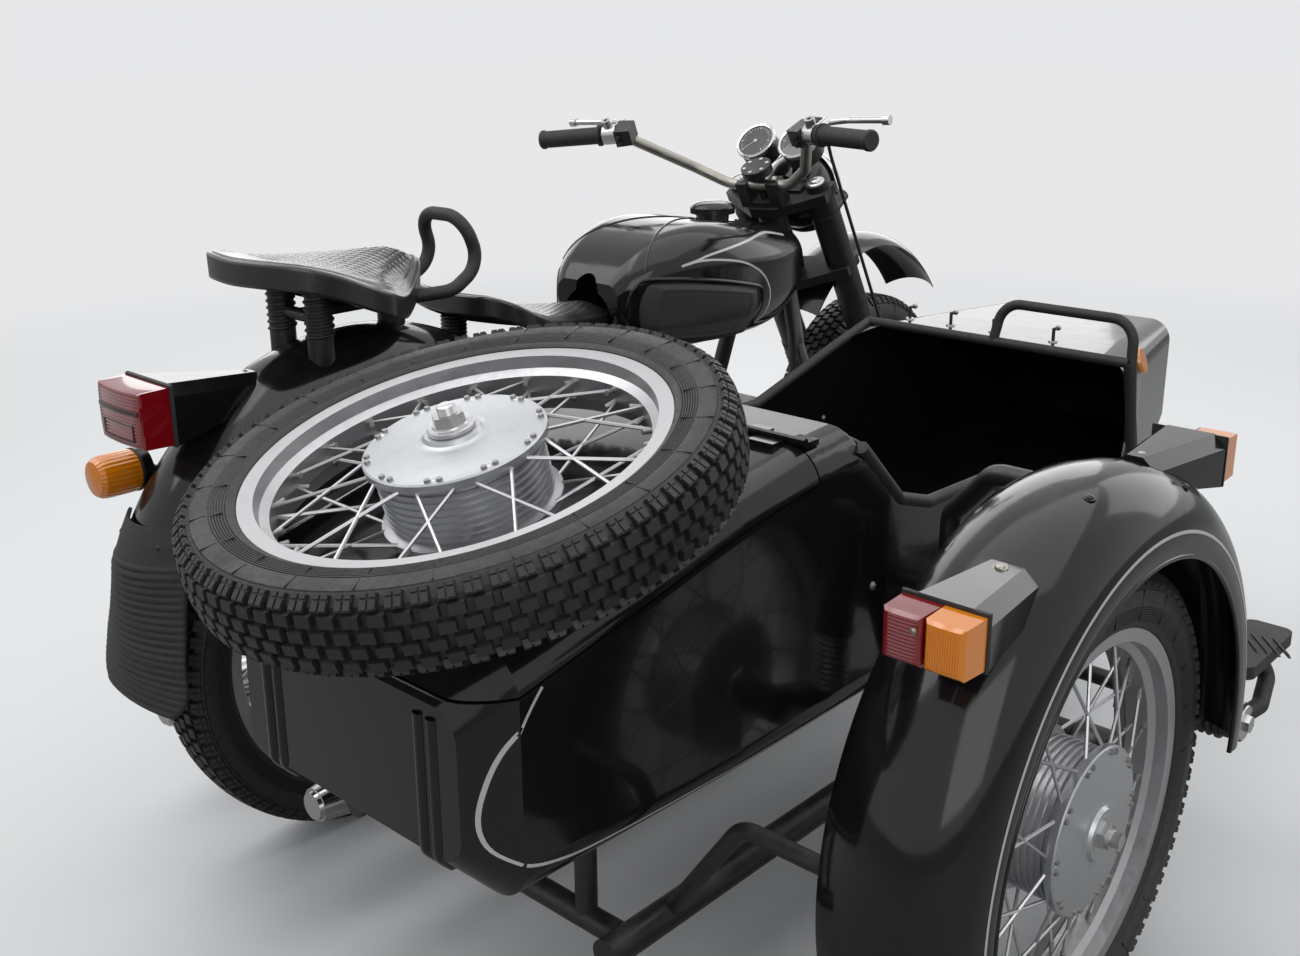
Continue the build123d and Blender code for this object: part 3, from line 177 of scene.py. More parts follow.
def dust_group():
    """Dust that settles on faces that look up, broken by noise."""
    group, entry, leave = make_group("settled_dust", {"Scale": 12.0, "Amount": 0.3}, ["Mask"])
    noise = add_node(group, "ShaderNodeTexNoise", Detail=8.0, Roughness=0.65)
    normal = add_node(group, "ShaderNodeNewGeometry")
    split = add_node(group, "ShaderNodeSeparateXYZ")
    upward = add_node(group, "ShaderNodeMapRange", From_Min=0.2, From_Max=1.0)
    patch = add_node(group, "ShaderNodeMapRange", From_Min=0.42, From_Max=0.75)
    both, share = (add_node(group, "ShaderNodeMath", operation="MULTIPLY") for _ in range(2))
    wire(
        group, (entry, "Vector", noise, "Vector"), (entry, "Scale", noise, "Scale"),
        (normal, "Normal", split, 0), (split, "Z", upward, "Value"), (upward, "Result", both, 0),
        (noise, "Fac", patch, "Value"), (patch, "Result", both, 1), (both, 0, share, 0),
        (entry, "Amount", share, 1), (share, 0, leave, "Mask"),
    )
    return group


groups = {}
finishes = {}

BROWN_DUST = (0.3, 0.28, 0.25)


def make_finish(name, colour, low, high, scale=60.0, bump=0.05, dust=0.0, dust_colour=BROWN_DUST, **plain):
    """A Principled material with uneven roughness, a fine bump and settled dust."""
    material = bpy.data.materials.new(name)
    material.use_nodes = True
    tree = material.node_tree
    shader = tree.nodes["Principled BSDF"]
    for key, value in plain.items():
        shader.inputs[key.replace("_", " ")].default_value = value
    darker = [channel * 0.8 for channel in colour]
    place = add_node(tree, "ShaderNodeTexCoord")
    levels = {"Scale": scale, "Low": low, "High": high}
    uneven = add_node(tree, "ShaderNodeGroup", levels, node_tree=groups["uneven"])
    shades = add_node(tree, "ShaderNodeMix", {6: (*darker, 1), 7: (*colour, 1)}, data_type="RGBA")
    settled = add_node(tree, "ShaderNodeGroup", {"Amount": dust}, node_tree=groups["dust"])
    dusty = add_node(tree, "ShaderNodeMix", {7: (*dust_colour, 1)}, data_type="RGBA")
    rougher = add_node(tree, "ShaderNodeMath", operation="ADD", use_clamp=True)
    relief = add_node(tree, "ShaderNodeBump", Strength=bump, Distance=MM)
    wire(
        tree, (place, "Object", uneven, "Vector"), (place, "Object", settled, "Vector"),
        (uneven, "Height", shades, 0), (settled, "Mask", dusty, 0), (shades, 2, dusty, 6),
        (dusty, 2, shader, "Base Color"), (uneven, "Value", rougher, 0), (settled, "Mask", rougher, 1),
        (rougher, 0, shader, "Roughness"), (uneven, "Height", relief, "Height"),
        (relief, "Normal", shader, "Normal"),
    )
    finishes[name] = material


class SIDECAR_OT_finishes(bpy.types.Operator):
    """Makes every finish and puts one on each CAD node."""

    bl_idname = "sidecar.finishes"
    bl_label = "Finishes"

    def execute(self, context):
        looks = context.scene.outfit_finish
        groups["uneven"] = speckle_group()
        groups["dust"] = dust_group()
        lens = (60, 0.02, 0.0)

        def coated(weight, roughness):
            return {"Coat_Weight": weight, "Coat_Roughness": roughness}

        # Name, colour, lowest and highest roughness, noise scale, bump, dust and its colour
        make_finish("gloss_black", looks.paint, 0.08, 0.18, 30, 0.01, 0.04, IOR=1.4, **coated(0.2, 0.03))
        make_finish("frame_black", (0.014, 0.014, 0.015), 0.3, 0.5, 60, 0.06, 0.25)
        make_finish("wheel_alloy", (0.54, 0.54, 0.55), 0.28, 0.42, 120, 0.05, 0.12, Metallic=0.9)
        make_finish("hub_alloy", (0.54, 0.55, 0.57), 0.3, 0.42, 40, 0.05, 0.06, Metallic=0.85)
        make_finish("spoke_steel", (0.36, 0.36, 0.35), 0.35, 0.5, 90, 0.05, 0.1, Metallic=0.9)
        make_finish("tyre_rubber", (0.015, 0.015, 0.016), 0.4, 0.6, 150, 0.12, 0.3, (0.1, 0.09, 0.075))
        make_finish(
            "aged_steel", (0.42, 0.4, 0.36), 0.25, 0.5, 50, 0.1, 0.1, (0.2, 0.13, 0.08), Metallic=0.95,
        )
        make_finish("alloy", (0.6, 0.6, 0.6), 0.22, 0.35, 60, 0.04, 0.05, Metallic=0.95)
        make_finish(
            "engine_alloy", (0.34, 0.34, 0.34), 0.45, 0.65, 140, 0.3, 0.3, (0.1, 0.08, 0.06), Metallic=0.7,
        )
        make_finish("exhaust_chrome", (0.6, 0.6, 0.61), 0.08, 0.22, 20, 0.02, 0.05, Metallic=1.0)
        make_finish("black_rubber", (0.018, 0.018, 0.018), 0.5, 0.7, 200, 0.12, 0.2, (0.09, 0.085, 0.08))
        make_finish("saddle_rubber", (0.02, 0.02, 0.022), 0.26, 0.36, 120, 0.05, 0.05, **coated(0.5, 0.16))
        make_finish("seat_vinyl", (0.016, 0.016, 0.017), 0.35, 0.5, 260, 0.3, 0.1)
        make_finish("black_plastic", (0.016, 0.016, 0.017), 0.3, 0.45, 120, 0.08, 0.15)
        make_finish("red_lens", looks.red, 0.08, 0.16, *lens, **coated(1.0, 0.05))
        # Painted shade: a dark red for the strips on the tail lens, which stand in for shade on it
        make_finish("lens_painted_shade", (0.035, 0.001, 0.002), 0.1, 0.2, *lens, **coated(1.0, 0.05))
        make_finish("amber_lens", looks.amber, 0.08, 0.16, *lens, **coated(1.0, 0.05))
        make_finish(
            "clear_glass", (0.85, 0.87, 0.88), 0.03, 0.08, 20, 0.0, Transmission_Weight=0.85, IOR=1.45,
        )
        make_finish("clear_plastic", (0.78, 0.78, 0.76), 0.06, 0.14, *lens, **coated(1.0, 0.03))
        make_finish(
            "lamp_glass", (0.95, 0.96, 0.96), 0.02, 0.06, 20, 0.0, Transmission_Weight=0.95, IOR=1.45,
        )
        make_finish("stripe_silver", looks.stripe, 0.3, 0.4, *lens, Metallic=0.2)
        make_finish("dial_face", (0.02, 0.022, 0.025), 0.15, 0.25, 40, 0.0, **coated(1.0, 0.02))
        make_finish("dial_white", (0.75, 0.75, 0.72), 0.4, 0.5, 40, 0.0)
        for entry in frame["record"]["subparts"]:
            node = frame["nodes"][entry["node"]]
            name = entry["material_slot"]
            if entry["node"].endswith("_wheel"):
                name = "wheel_alloy"
            if entry["node"] == "lamp_housings":
                name = "gloss_black"
            node.data.materials.clear()
            node.data.materials.append(finishes[name])
        return {"FINISHED"}


# Mesh helpers

def moved(x, y, z):
    """A matrix that only moves."""
    return Matrix.Translation((x, y, z))


def turned(degrees, axis):
    """A matrix that only turns, about the axis X, Y or Z."""
    return Matrix.Rotation(radians(degrees), 4, axis)


def ring_spots(centre, axes, radius, count, start=0):
    """Places round a centre, in the plane of two axes that are numbered from 0 to 2."""
    for turn in range(count):
        angle = radians(360 // count * turn + start)
        spot = list(centre)
        spot[axes[0]] += radius * cos(angle)
        spot[axes[1]] += radius * sin(angle)
        yield spot


def thicken(piece, millimetres):
    """Gives a sheet a live thickness, inwards from its outer face."""
    shell = piece.modifiers.new("thickness", "SOLIDIFY")
    shell.thickness = millimetres * MM
    shell.offset = -1


def new_verts(made):
    """The new vertices among what an operator made."""
    return [item for item in made if isinstance(item, bmesh.types.BMVert)]


def keep(bm, name, slot, finish=None, sharp=35, stands_for=(), body="chassis", place=WORK):
    """Turns a bmesh in millimetres into a finished piece in the row frame, on a body of the CAD model."""
    bmesh.ops.recalc_face_normals(bm, faces=bm.faces)
    bm.transform(place)
    mesh = bpy.data.meshes.new(name)
    bm.to_mesh(mesh)
    bm.free()
    mesh.shade_smooth()
    mesh.set_sharp_from_angle(angle=radians(sharp))
    mesh.materials.append(finishes[finish or slot])
    piece = bpy.data.objects.new(name, mesh)
    bpy.context.scene.collection.objects.link(piece)
    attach(piece, body)
    if stands_for:
        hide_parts(*stands_for)
    return piece


def lathe(bm, profile, steps=72, place=Matrix()):
    """Turns a closed profile of (radius, along) points about the Y axis of a place."""
    verts = [bm.verts.new(place @ Vector((radius, along, 0))) for radius, along in profile]
    edges = [bm.edges.new(pair) for pair in zip(verts, verts[1:] + verts[:1])]
    axis = place.to_3x3() @ Vector(LEFT)
    bmesh.ops.spin(
        bm, geom=verts + edges, cent=place.to_translation(), axis=axis, angle=2 * pi, steps=steps,
        use_merge=True, use_duplicate=False,
    )


def block(bm, size, matrix, taper=1.0):
    """A block whose top, towards +Z, is drawn in by the taper."""
    made = bmesh.ops.create_cube(bm, size=1)["verts"]
    for vert in made:
        if vert.co.z > 0:
            vert.co.x *= taper
            vert.co.y *= taper
    bmesh.ops.transform(bm, matrix=matrix @ Matrix.Diagonal((*size, 1)), verts=made)


def drum(bm, radius, top_radius, depth, matrix, sides=24):
    """A capped round boss along its own Z, from 0 to its depth."""
    bmesh.ops.create_cone(
        bm, cap_ends=True, segments=sides, radius1=radius, radius2=top_radius, depth=depth,
        matrix=matrix @ moved(0, 0, depth / 2),
    )


def ball(bm, radius, matrix, around, high):
    """A sphere whose matrix may flatten it."""
    made = bmesh.ops.create_uvsphere(bm, u_segments=around, v_segments=high, radius=radius)["verts"]
    bmesh.ops.transform(bm, verts=made, matrix=matrix)


def aim(point, direction):
    """A matrix at a point whose Z looks along a direction."""
    turn = Vector(direction).to_track_quat("Z", "Y").to_matrix().to_4x4()
    return Matrix.Translation(point) @ turn


def domed_bolts(bm, spots, look, radius=5.0):
    """Washers with domed heads on them, standing up along a direction."""
    for spot in spots:
        place = aim(spot, look)
        drum(bm, radius * 1.5, radius * 1.4, 1.4, place, 20)
        ball(bm, radius, place @ moved(0, 0, 1.2) @ Matrix.Diagonal((1, 1, 0.6, 1)), 16, 8)


def bent_rod(bm, points, radius, sides=4, cyclic=False, fine=12):
    """A round rod along a smooth line, read from a bevelled curve."""
    curve = bpy.data.curves.new("rod_line", "CURVE")
    curve.dimensions = "3D"
    spline = curve.splines.new("NURBS")
    spline.points.add(len(points) - 1)
    for index, point in enumerate(points):
        spline.points[index].co = (*point, 1)
    spline.resolution_u = fine
    spline.order_u = 3
    spline.use_endpoint_u = not cyclic
    spline.use_cyclic_u = cyclic
    curve.bevel_depth = radius
    curve.bevel_resolution = sides
    curve.use_fill_caps = not cyclic
    carrier = bpy.data.objects.new("rod_line", curve)
    mesh = bpy.data.meshes.new_from_object(carrier)
    bm.from_mesh(mesh)
    bpy.data.objects.remove(carrier)
    bpy.data.curves.remove(curve)
    bpy.data.meshes.remove(mesh)


def surface_of(name):
    """A tree for finding points on a CAD node."""
    mesh = frame["nodes"][name].data
    verts = [tuple(vert.co) for vert in mesh.vertices]
    return BVHTree.FromPolygons(verts, [list(face.vertices) for face in mesh.polygons])


def on_surface(tree, start, look):
    """The point and outward normal where a line of sight meets CAD faces, in working millimetres."""
    look = Vector(look).normalized()
    found, normal, _, _ = tree.ray_cast(WORK @ Vector(start), look)
    if found is None:
        return None, None
    if normal.dot(look) > 0:
        normal = -normal
    return WORK.inverted() @ found, normal


def traced(tree, starts, look, lift):
    """The points where lines of sight from a row of starts meet CAD faces, lifted off them."""
    found = [on_surface(tree, start, look) for start in starts]
    return [point + normal * lift for point, normal in found if point is not None]


def coil_line(start, span, across, other, turns, steps):
    """The line of a spring's wire round a span, at the distance that the two sideways vectors give."""
    angles = [2 * pi * turns * step / steps for step in range(steps + 1)]
    return [
        start + span * index / steps + across * cos(angle) + other * sin(angle)
        for index, angle in enumerate(angles)
    ]


def smooth_line(points, step, cyclic=False):
    """Evenly dense points along a smooth line through a few points, in millimetres."""
    dense = []
    count = len(points)
    for index in range(count if cyclic else count - 1):
        if cyclic:
            before, start, end, after = (Vector(points[(index + shift) % count]) for shift in (-1, 0, 1, 2))
        else:
            start = Vector(points[index])
            end = Vector(points[index + 1])
            before = Vector(points[index - 1]) if index else start * 2 - end
            after = Vector(points[index + 2]) if index + 2 < count else end * 2 - start
        parts = max(1, ceil((end - start).length / step))
        for t in (part / parts for part in range(parts)):
            dense.append(
                0.5 * (
                    2 * start + (end - before) * t + (2 * before - 5 * start + 4 * end - after) * t * t
                    + (3 * start - before - 3 * end + after) * t * t * t
                )
            )
    if not cyclic:
        dense.append(Vector(points[-1]))
    return dense


STRIPE_LIFT = 0.35
STRIPE_STEP = 8
FAR_OFF = 400


def stripe(bm, points, tree, look, width):
    """A thin painted line laid on CAD surfaces, seen along a direction, in working axes."""
    line = smooth_line(points, STRIPE_STEP)
    look = Vector(look).normalized()
    rows = []
    for before, point, after in zip(line[:1] + line, line, line[1:] + line[-1:]):
        side = (after - before).cross(look).normalized() * width / 2
        row = traced(tree, [point + shift - look * FAR_OFF for shift in (side, -side)], look, STRIPE_LIFT)
        rows.append([bm.verts.new(spot) for spot in row] if len(row) == 2 else [])
    for first, second in zip(rows, rows[1:]):
        if first and second:
            bm.faces.new((first[0], first[1], second[1], second[0]))


# Tyres

def tyre_profile():
    """Half section of the carcass under the blocks, radius and side, with fine sidewall ribs."""
    side = [(241.5, 34), (255.5, 36), (256, 41), (259, 43.6), (262, 45)]
    for rib in range(7):
        radius = 263 + rib * 3
        bulge = 49.2 - ((radius - 292) / 30) ** 2 * 3.2
        side += [(radius, bulge - 0.8), (radius + 0.7, bulge + 0.2)]
        side += [(radius + 1.9, bulge + 0.2), (radius + 2.5, bulge - 0.8)]
    side += [(285, 49), (292, 49.4), (299, 48.9), (305, 47.8), (306, 46.4), (307.2, 47.1), (314, 43)]
    return side + [(319.5, 38), (322.5, 28), (324.5, 14), (325, 0)]


MOULD_LINES = 24

# How far each part of a split shoulder block lies along the tread and towards the side, and its width
shoulder_parts = ((-4.7, 6.4, 5.4), (4.7, 6.4, 5.4), (-4.7, -3, 11.6), (4.7, -3, 11.6))


class SIDECAR_OT_tyres(bpy.types.Operator):
    """Builds each tyre's carcass and block tread."""

    bl_idname = "sidecar.tyres"
    bl_label = "Tyres"

    def execute(self, context):
        pitches = context.scene.outfit_tyre.tread_pitches
        depth = context.scene.outfit_tyre.tread_depth
        for wheel, (place, body) in wheels.items():
            bm = bmesh.new()
            half = tyre_profile()
            lathe(bm, half + [(radius, -along) for radius, along in reversed(half[:-1])], 96)
            for turn in range(MOULD_LINES):
                spin = Matrix.Rotation(2 * pi * turn / MOULD_LINES, 4, "Y")
                for side in (1, -1):
                    block(bm, (0.9, 19, 1.5), spin @ aim((0, side * 49, 296), (0, side, 0)))
                    block(bm, (0.9, 15, 2.2), spin @ aim((4, side * 48, 275), (0, side, 0)))
            for turn in range(pitches):
                for half_turn, rows in ((0, (8.5, -26)), (0.5, (-8.5, 26))):
                    spin = Matrix.Rotation(2 * pi * (turn + half_turn) / pitches, 4, "Y")
                    for row in rows:
                        radius = AXLE_Z - row ** 2 / 330
                        tip = spin @ moved(0, row, radius - depth / 2 - 0.6)
                        block(bm, (19, 13.5, depth + 1), tip @ turned(-row * 0.35, "X"), 0.9)
                for side in (1, -1):
                    part_turn = 0.25 if side > 0 else 0.75
                    spin = Matrix.Rotation(2 * pi * (turn + part_turn) / pitches, 4, "Y")
                    lean = spin @ moved(0, side * 41.3, 318.2) @ turned(-side * 52, "X")
                    block(bm, (18.4, 19, 7), lean @ moved(0, 0, -1.8), 0.96)
                    for ahead, across, width in shoulder_parts:
                        block(bm, (8, width, 5), lean @ moved(ahead, side * across, 1), 0.86)
            keep(bm, f"{wheel}_tyre_tread", "tyre_rubber", None, 30, (f"{wheel}_tyre",), body, place)
        return {"FINISHED"}


# Wheels

SPOKE_PAIRS = 10


class SIDECAR_OT_hubs(bpy.types.Operator):
    """Adds the hub cover, drum ribs, rivets, nuts and spoke nipples of each wheel."""

    bl_idname = "sidecar.hubs"
    bl_label = "Hubs"

    def execute(self, context):
        for wheel, (place, body) in wheels.items():
            bm = bmesh.new()
            for side in (1, -1):
                cover = [(12, 60.2), (33, 60.2), (34.5, 58), (36, 55.5)]
                for share in (step / 8 for step in range(9)):
                    cover.append((38 + 64 * share, 54.4 - 5.2 * share ** 1.6))
                cover += [(107, 48.8), (109, 47), (109, 38), (104, 36.5), (98, 35.5), (12, 35.5)]
                lathe(bm, [(radius, side * along) for radius, along in cover], 96)
            for along in range(-27, 28, 9):
                lathe(bm, [(96, along - 2), (100.5, along - 1.2), (100.5, along + 1.2), (96, along + 2)])
            for turn in range(SPOKE_PAIRS):
                for side in (1, -1):
                    angle = 2 * pi * (turn + 0.25 + 0.25 * side) / SPOKE_PAIRS
                    middle = moved(100 * cos(angle), side * 48.6, 100 * sin(angle))
                    ball(bm, 4.6, middle @ Matrix.Diagonal((1, 0.45, 1, 1)), 12, 6)
            keep(bm, f"{wheel}_hub", "wheel_alloy", "hub_alloy", 30, (), body, place)
            bm = bmesh.new()
            for turn in range(SPOKE_PAIRS):
                for side in (1, -1):
                    for lean in (1, -1):
                        base = radians(360 / SPOKE_PAIRS * (turn + (side + 1) / 4))
                        low, high = (
                            Matrix.Rotation(base + radians(turned_by * lean), 4, "Y") @ Vector(spot)
                            for turned_by, spot in ((4, (102, side * 40, 0)), (27, (228, side * 7, 0)))
                        )
                        run = (high - low).normalized()
                        drum(bm, 3.6, 3.2, 17, aim(high - run * 17, run), 10)
                        drum(bm, 4.0, 3.4, 5, aim(low + Vector((0, side * 7.4, 0)), (0, side, 0)), 10)
            keep(bm, f"{wheel}_nipples", "wheel_alloy", "spoke_steel", 40, (), body, place)
        bm = bmesh.new()
        washer = [(9, 60.6), (27.4, 60.6), (28, 61.6), (28, 65.4), (26.8, 66.8), (21.5, 67.2), (20.5, 69)]
        lathe(bm, washer + [(9, 69)], 64)
        drum(bm, 20.6, 19.6, 12.4, aim((0, 68.6, 0), LEFT), 6)
        thread = [(9, 80), (10.4, 80)]
        for turn in range(5):
            thread += [(10.9, 81.2 + turn * 1.9), (10.4, 82.1 + turn * 1.9)]
        lathe(bm, thread + [(10.3, 90.4), (9.4, 91), (0.2, 91), (0.2, 80)], 32)
        keep(bm, "spare_nut", "aged_steel", "alloy", body="boot_lid", place=wheels["spare"][0])
        return {"FINISHED"}


# Saddles

# Half of each saddle's edge from its back to its nose, as x, y and height, and the height along its middle
driver_edge = [
    (227, 0, 853), (231, 62, 855), (242, 98, 855), (266, 123, 845), (302, 131, 826), (350, 122, 806),
    (420, 92, 789), (480, 63, 779), (540, 47, 773), (584, 34, 768), (599, 14, 765), (601, 0, 765),
]
driver_middle = [
    (227, 850), (246, 838), (275, 822), (320, 810), (400, 802), (480, 796), (560, 789), (601, 772),
]
pillion_edge = [
    (-168, 0, 960), (-164, 50, 961), (-150, 90, 960), (-116, 117, 953), (-72, 127, 938), (-20, 125, 916),
    (30, 112, 897), (70, 88, 885), (102, 62, 888), (134, 36, 902), (156, 16, 918), (162, 0, 922),
]
pillion_middle = [
    (-168, 957), (-145, 954), (-110, 950), (-60, 949), (20, 948), (90, 946), (135, 940), (162, 928),
]


def height_at(rows, x):
    """The height of a middle line at x."""
    x = min(max(x, rows[0][0]), rows[-1][0])
    for low, high in zip(rows, rows[1:]):
        if x <= high[0]:
            return low[1] + (high[1] - low[1]) * (x - low[0]) / (high[0] - low[0])
    return rows[-1][1]


SADDLE_RINGS = 64
SADDLE_RIM = 0.84  # The share of the grid's X that lies inside the rim
EDGE_ROLL = 5
DIAMOND = 13


def saddle(bm, edge, middle, depth, smooth_to):
    """A rubber saddle cover: a crowned sheet with a raised rim, a turned-down edge and diamonds on top.

    The grid's Y runs round the outline. Its X runs from the middle line to the rim and down the edge.
    """
    loop = edge + [(x, -y, z) for x, y, z in reversed(edge[1:-1])]
    outline = smooth_line([Vector(point) for point in loop], 2.6, True)
    middle = [(point.x, point.z) for point in smooth_line([Vector((x, 0, z)) for x, z in middle], 6)]
    middle_x = (edge[0][0] + edge[-1][0]) / 2
    made = bmesh.ops.create_grid(bm, x_segments=SADDLE_RINGS, y_segments=len(outline), size=1)["verts"]
    for vert in made:
        turn = round((vert.co.y + 1) / 2 * len(outline)) % len(outline)
        out = outline[turn]
        share = (vert.co.x + 1) / 2 / SADDLE_RIM
        reach = min(share, 1.0)
        spine_x = middle_x + (out.x - middle_x) * 0.62
        x = spine_x + (out.x - spine_x) * reach
        y = out.y * reach
        spine_z = height_at(middle, x)
        bend = reach ** 2.2
        z = spine_z + (out.z - spine_z) * bend + 3.0 * exp(-((reach - 0.93) / 0.035) ** 2)
        fall = max(0.0, share - 1) / (1 / SADDLE_RIM - 1)
        roll = min(1.0, fall / 0.3)
        away = Vector((out.x - spine_x, out.y, 0)).normalized()
        x += away.x * EDGE_ROLL * sin(roll * pi / 2) * (1 - 0.25 * fall)
        y += away.y * EDGE_ROLL * sin(roll * pi / 2) * (1 - 0.25 * fall)
        z -= EDGE_ROLL * (1 - cos(roll * pi / 2)) + (depth - EDGE_ROLL) * max(0.0, (fall - 0.3) / 0.7)
        flat = min(1, max(0.0, 0.86 - reach) * 12) * min(1, max(0.0, (x - smooth_to) / 14))
        weave = abs(sin(pi * (x * 0.55 + y) / DIAMOND)) * abs(sin(pi * (x * 0.55 - y) / DIAMOND))
        z += 1.1 * flat * min(1, weave * 2.4)
        vert.co = (x, y, z)
    bmesh.ops.remove_doubles(bm, verts=bm.verts[:], dist=0.05)


# Foot and radius of each spring under a saddle, and its height
saddle_springs = [
    ((330, 112, 740), 15, 46), ((330, -112, 740), 15, 46),
    ((-60, 50, 830), 14, 75), ((-60, -50, 830), 14, 75),
]
COIL_TURNS, COIL_STEPS = 7, 56
COIL_GAP = 8


class SIDECAR_OT_saddles(bpy.types.Operator):
    """Builds the two rubber saddles and the springs under them."""

    bl_idname = "sidecar.saddles"
    bl_label = "Saddles"

    def execute(self, context):
        covers = [
            ("driver_saddle", driver_edge, driver_middle, 34, 300),
            ("pillion_saddle", pillion_edge, pillion_middle, 38, -110),
        ]
        for name, edge, middle, depth, smooth_to in covers:
            bm = bmesh.new()
            saddle(bm, edge, middle, depth, smooth_to)
            thicken(keep(bm, f"{name}_cover", "saddle_rubber", stands_for=(name,)), 7)
        bm = bmesh.new()
        for low, radius, height in saddle_springs:
            across = Vector((radius + COIL_GAP, 0, 0))
            other = Vector((0, radius + COIL_GAP, 0))
            coil = coil_line(Vector(low), Vector((0, 0, height)), across, other, COIL_TURNS, COIL_STEPS)
            bent_rod(bm, coil, 2.6, 2, fine=2)
        keep(bm, "saddle_springs", "aged_steel", "frame_black", sharp=60)
        return {"FINISHED"}


# Lamps

def ribbed_lens(bm, face, size, depth, ribs, upright, bulge=1.5, taper=4.5):
    """A lens that stands out along Z from a plane, with a crowned face of moulded ribs."""
    width, height = size
    made = bmesh.ops.create_grid(
        bm, x_segments=ribs * 6 if upright else 14, y_segments=14 if upright else ribs * 6, size=1,
    )["verts"]
    rim = [edge for edge in {edge for vert in made for edge in vert.link_edges} if edge.is_boundary]
    for vert in made:
        u, v = vert.co.x, vert.co.y
        wave = 0.5 - 0.5 * cos((u if upright else v) * ribs * pi)
        fade = min(1.0, (1 - max(abs(u), abs(v))) * 10)
        crown = depth - bulge * (u * u + 0.3 * v * v)
        vert.co = (u * (width / 2 - taper), v * (height / 2 - taper), crown + 0.9 * wave * fade)
    reach = taper
    for inset, level in ((1.2, depth - bulge - 4), (0.0, 0.0)):
        ring = bmesh.ops.extrude_edge_only(bm, edges=rim)["geom"]
        rim = [item for item in ring if isinstance(item, bmesh.types.BMEdge) and item.is_boundary]
        for vert in new_verts(ring):
            vert.co.x *= (width / 2 - inset) / (width / 2 - reach)
            vert.co.y *= (height / 2 - inset) / (height / 2 - reach)
            vert.co.z = level
            made.append(vert)
        reach = inset
    bmesh.ops.contextual_create(bm, geom=rim)
    bmesh.ops.transform(bm, verts=made, matrix=face)


def lens_band(bm, face, across, up, depth, bulge):
    """A thin strip that lies on a crowned lens between two distances across it and two up it, used as
    painted shade.
    """
    made = bmesh.ops.create_grid(bm, x_segments=14, y_segments=2, size=0.5)["verts"]
    for vert in made:
        x = across[0] + (across[1] - across[0]) * (vert.co.x + 0.5)
        y = up[0] + (up[1] - up[0]) * (vert.co.y + 0.5)
        vert.co = (x, y, depth - bulge * (x / 57) ** 2)
    faces = list({side for vert in made for side in vert.link_faces})
    made += new_verts(bmesh.ops.solidify(bm, geom=faces, thickness=1.2)["geom"])
    bmesh.ops.transform(bm, verts=made, matrix=face)


# Faces of the lamp housings, on which the lenses stand
TAIL_FACE = aim((-315.4, 0, 766), BACK)
MARK_X, MARK_Z = -112.4, 711.3
NOSE_X, NOSE_Z = 512.4, 743
SIGNAL_AT = (-299.4, 104, 650)

# The bands of painted shade on the tail lens, strips of dark red that stand in for shade: from and to
# across it, from and to up it
tail_shade_bands = [
    ((-54, 54), (8, 14)), ((-40, 40), (-8, -6)), ((-40, 40), (-31, -29)), ((-41, -39), (-31, -6)),
    ((39, 41), (-31, -6)),
]


class SIDECAR_OT_lamps(bpy.types.Operator):
    """Builds the tail, mudguard and signal lenses with their gaskets and screws."""

    bl_idname = "sidecar.lamps"
    bl_label = "Lamps"

    def execute(self, context):
        mark, nose = (47, 56), (47, 59)
        bm = bmesh.new()
        ribbed_lens(bm, TAIL_FACE, (119, 83), 52, 16, False, 5, 3)
        ribbed_lens(bm, aim((MARK_X, -1138, MARK_Z), BACK), mark, 43, 12, False)
        keep(bm, "red_lens_faces", "red_lens", sharp=25, stands_for=("red_lenses",))
        # Strips of dark red painted shade laid on the tail lens
        bm = bmesh.new()
        for across, up in tail_shade_bands:
            lens_band(bm, TAIL_FACE, across, up, 53.4, 5)
        keep(bm, "tail_lens_painted_shade", "red_lens", "lens_painted_shade", sharp=40)
        bm = bmesh.new()
        ribbed_lens(bm, aim((MARK_X, -1186, MARK_Z), BACK), mark, 43, 14, True)
        ribbed_lens(bm, aim((NOSE_X, -1172, NOSE_Z), AHEAD), nose, 43, 14, True)
        keep(bm, "amber_lens_faces", "amber_lens", sharp=25, stands_for=("amber_lenses",))
        bm = bmesh.new()
        barrel = [(0, 0), (31, 0), (31.8, 4), (32.2, 20), (32, 46), (30.5, 57), (26, 63.5), (14, 66.6)]
        lathe(bm, barrel + [(0, 67)], 168)
        for vert in bm.verts:
            swell = 1 + 0.014 * cos(28 * atan2(vert.co.z, vert.co.x))
            vert.co.x *= swell
            vert.co.z *= swell
        bmesh.ops.transform(bm, verts=bm.verts[:], matrix=Matrix.Translation(SIGNAL_AT) @ turned(90, "Z"))
        keep(bm, "signal_barrel", "amber_lens", sharp=25)
        bm = bmesh.new()
        ribbed_lens(bm, aim((NOSE_X, -1124, NOSE_Z), AHEAD), nose, 43, 14, True)
        keep(bm, "clear_lens_face", "clear_glass", "clear_plastic", sharp=25)
        bm = bmesh.new()
        block(bm, (125, 90, 5), aim((-314.6, 0, 766), BACK), 0.98)
        block(bm, (100, 64, 4), aim((-111.4, -1162, 711.5), BACK), 0.98)
        block(bm, (100, 66, 4), aim((511.4, -1148, 743), AHEAD), 0.98)
        drum(bm, 33, 33, 4, aim((-298, 104, 650), BACK), 48)
        keep(bm, "lamp_gaskets", "black_rubber", sharp=40)
        bm = bmesh.new()
        for spot, look, radius in (
            ((-163, 0, 790), (-0.12, 0, 1), 5), ((12, -1153, 738), (-0.25, 0, 1), 6),
            ((362, -1148, 778), (0.1, 0, 1), 5), ((-155.6, -1154, 724), BACK, 2.6),
            ((555.6, -1140, 756), AHEAD, 2.6),
        ):
            domed_bolts(bm, [spot], look, radius)
        keep(bm, "lamp_screws", "alloy", "aged_steel", sharp=50)
        return {"FINISHED"}


# Mudflap and mudguard trim

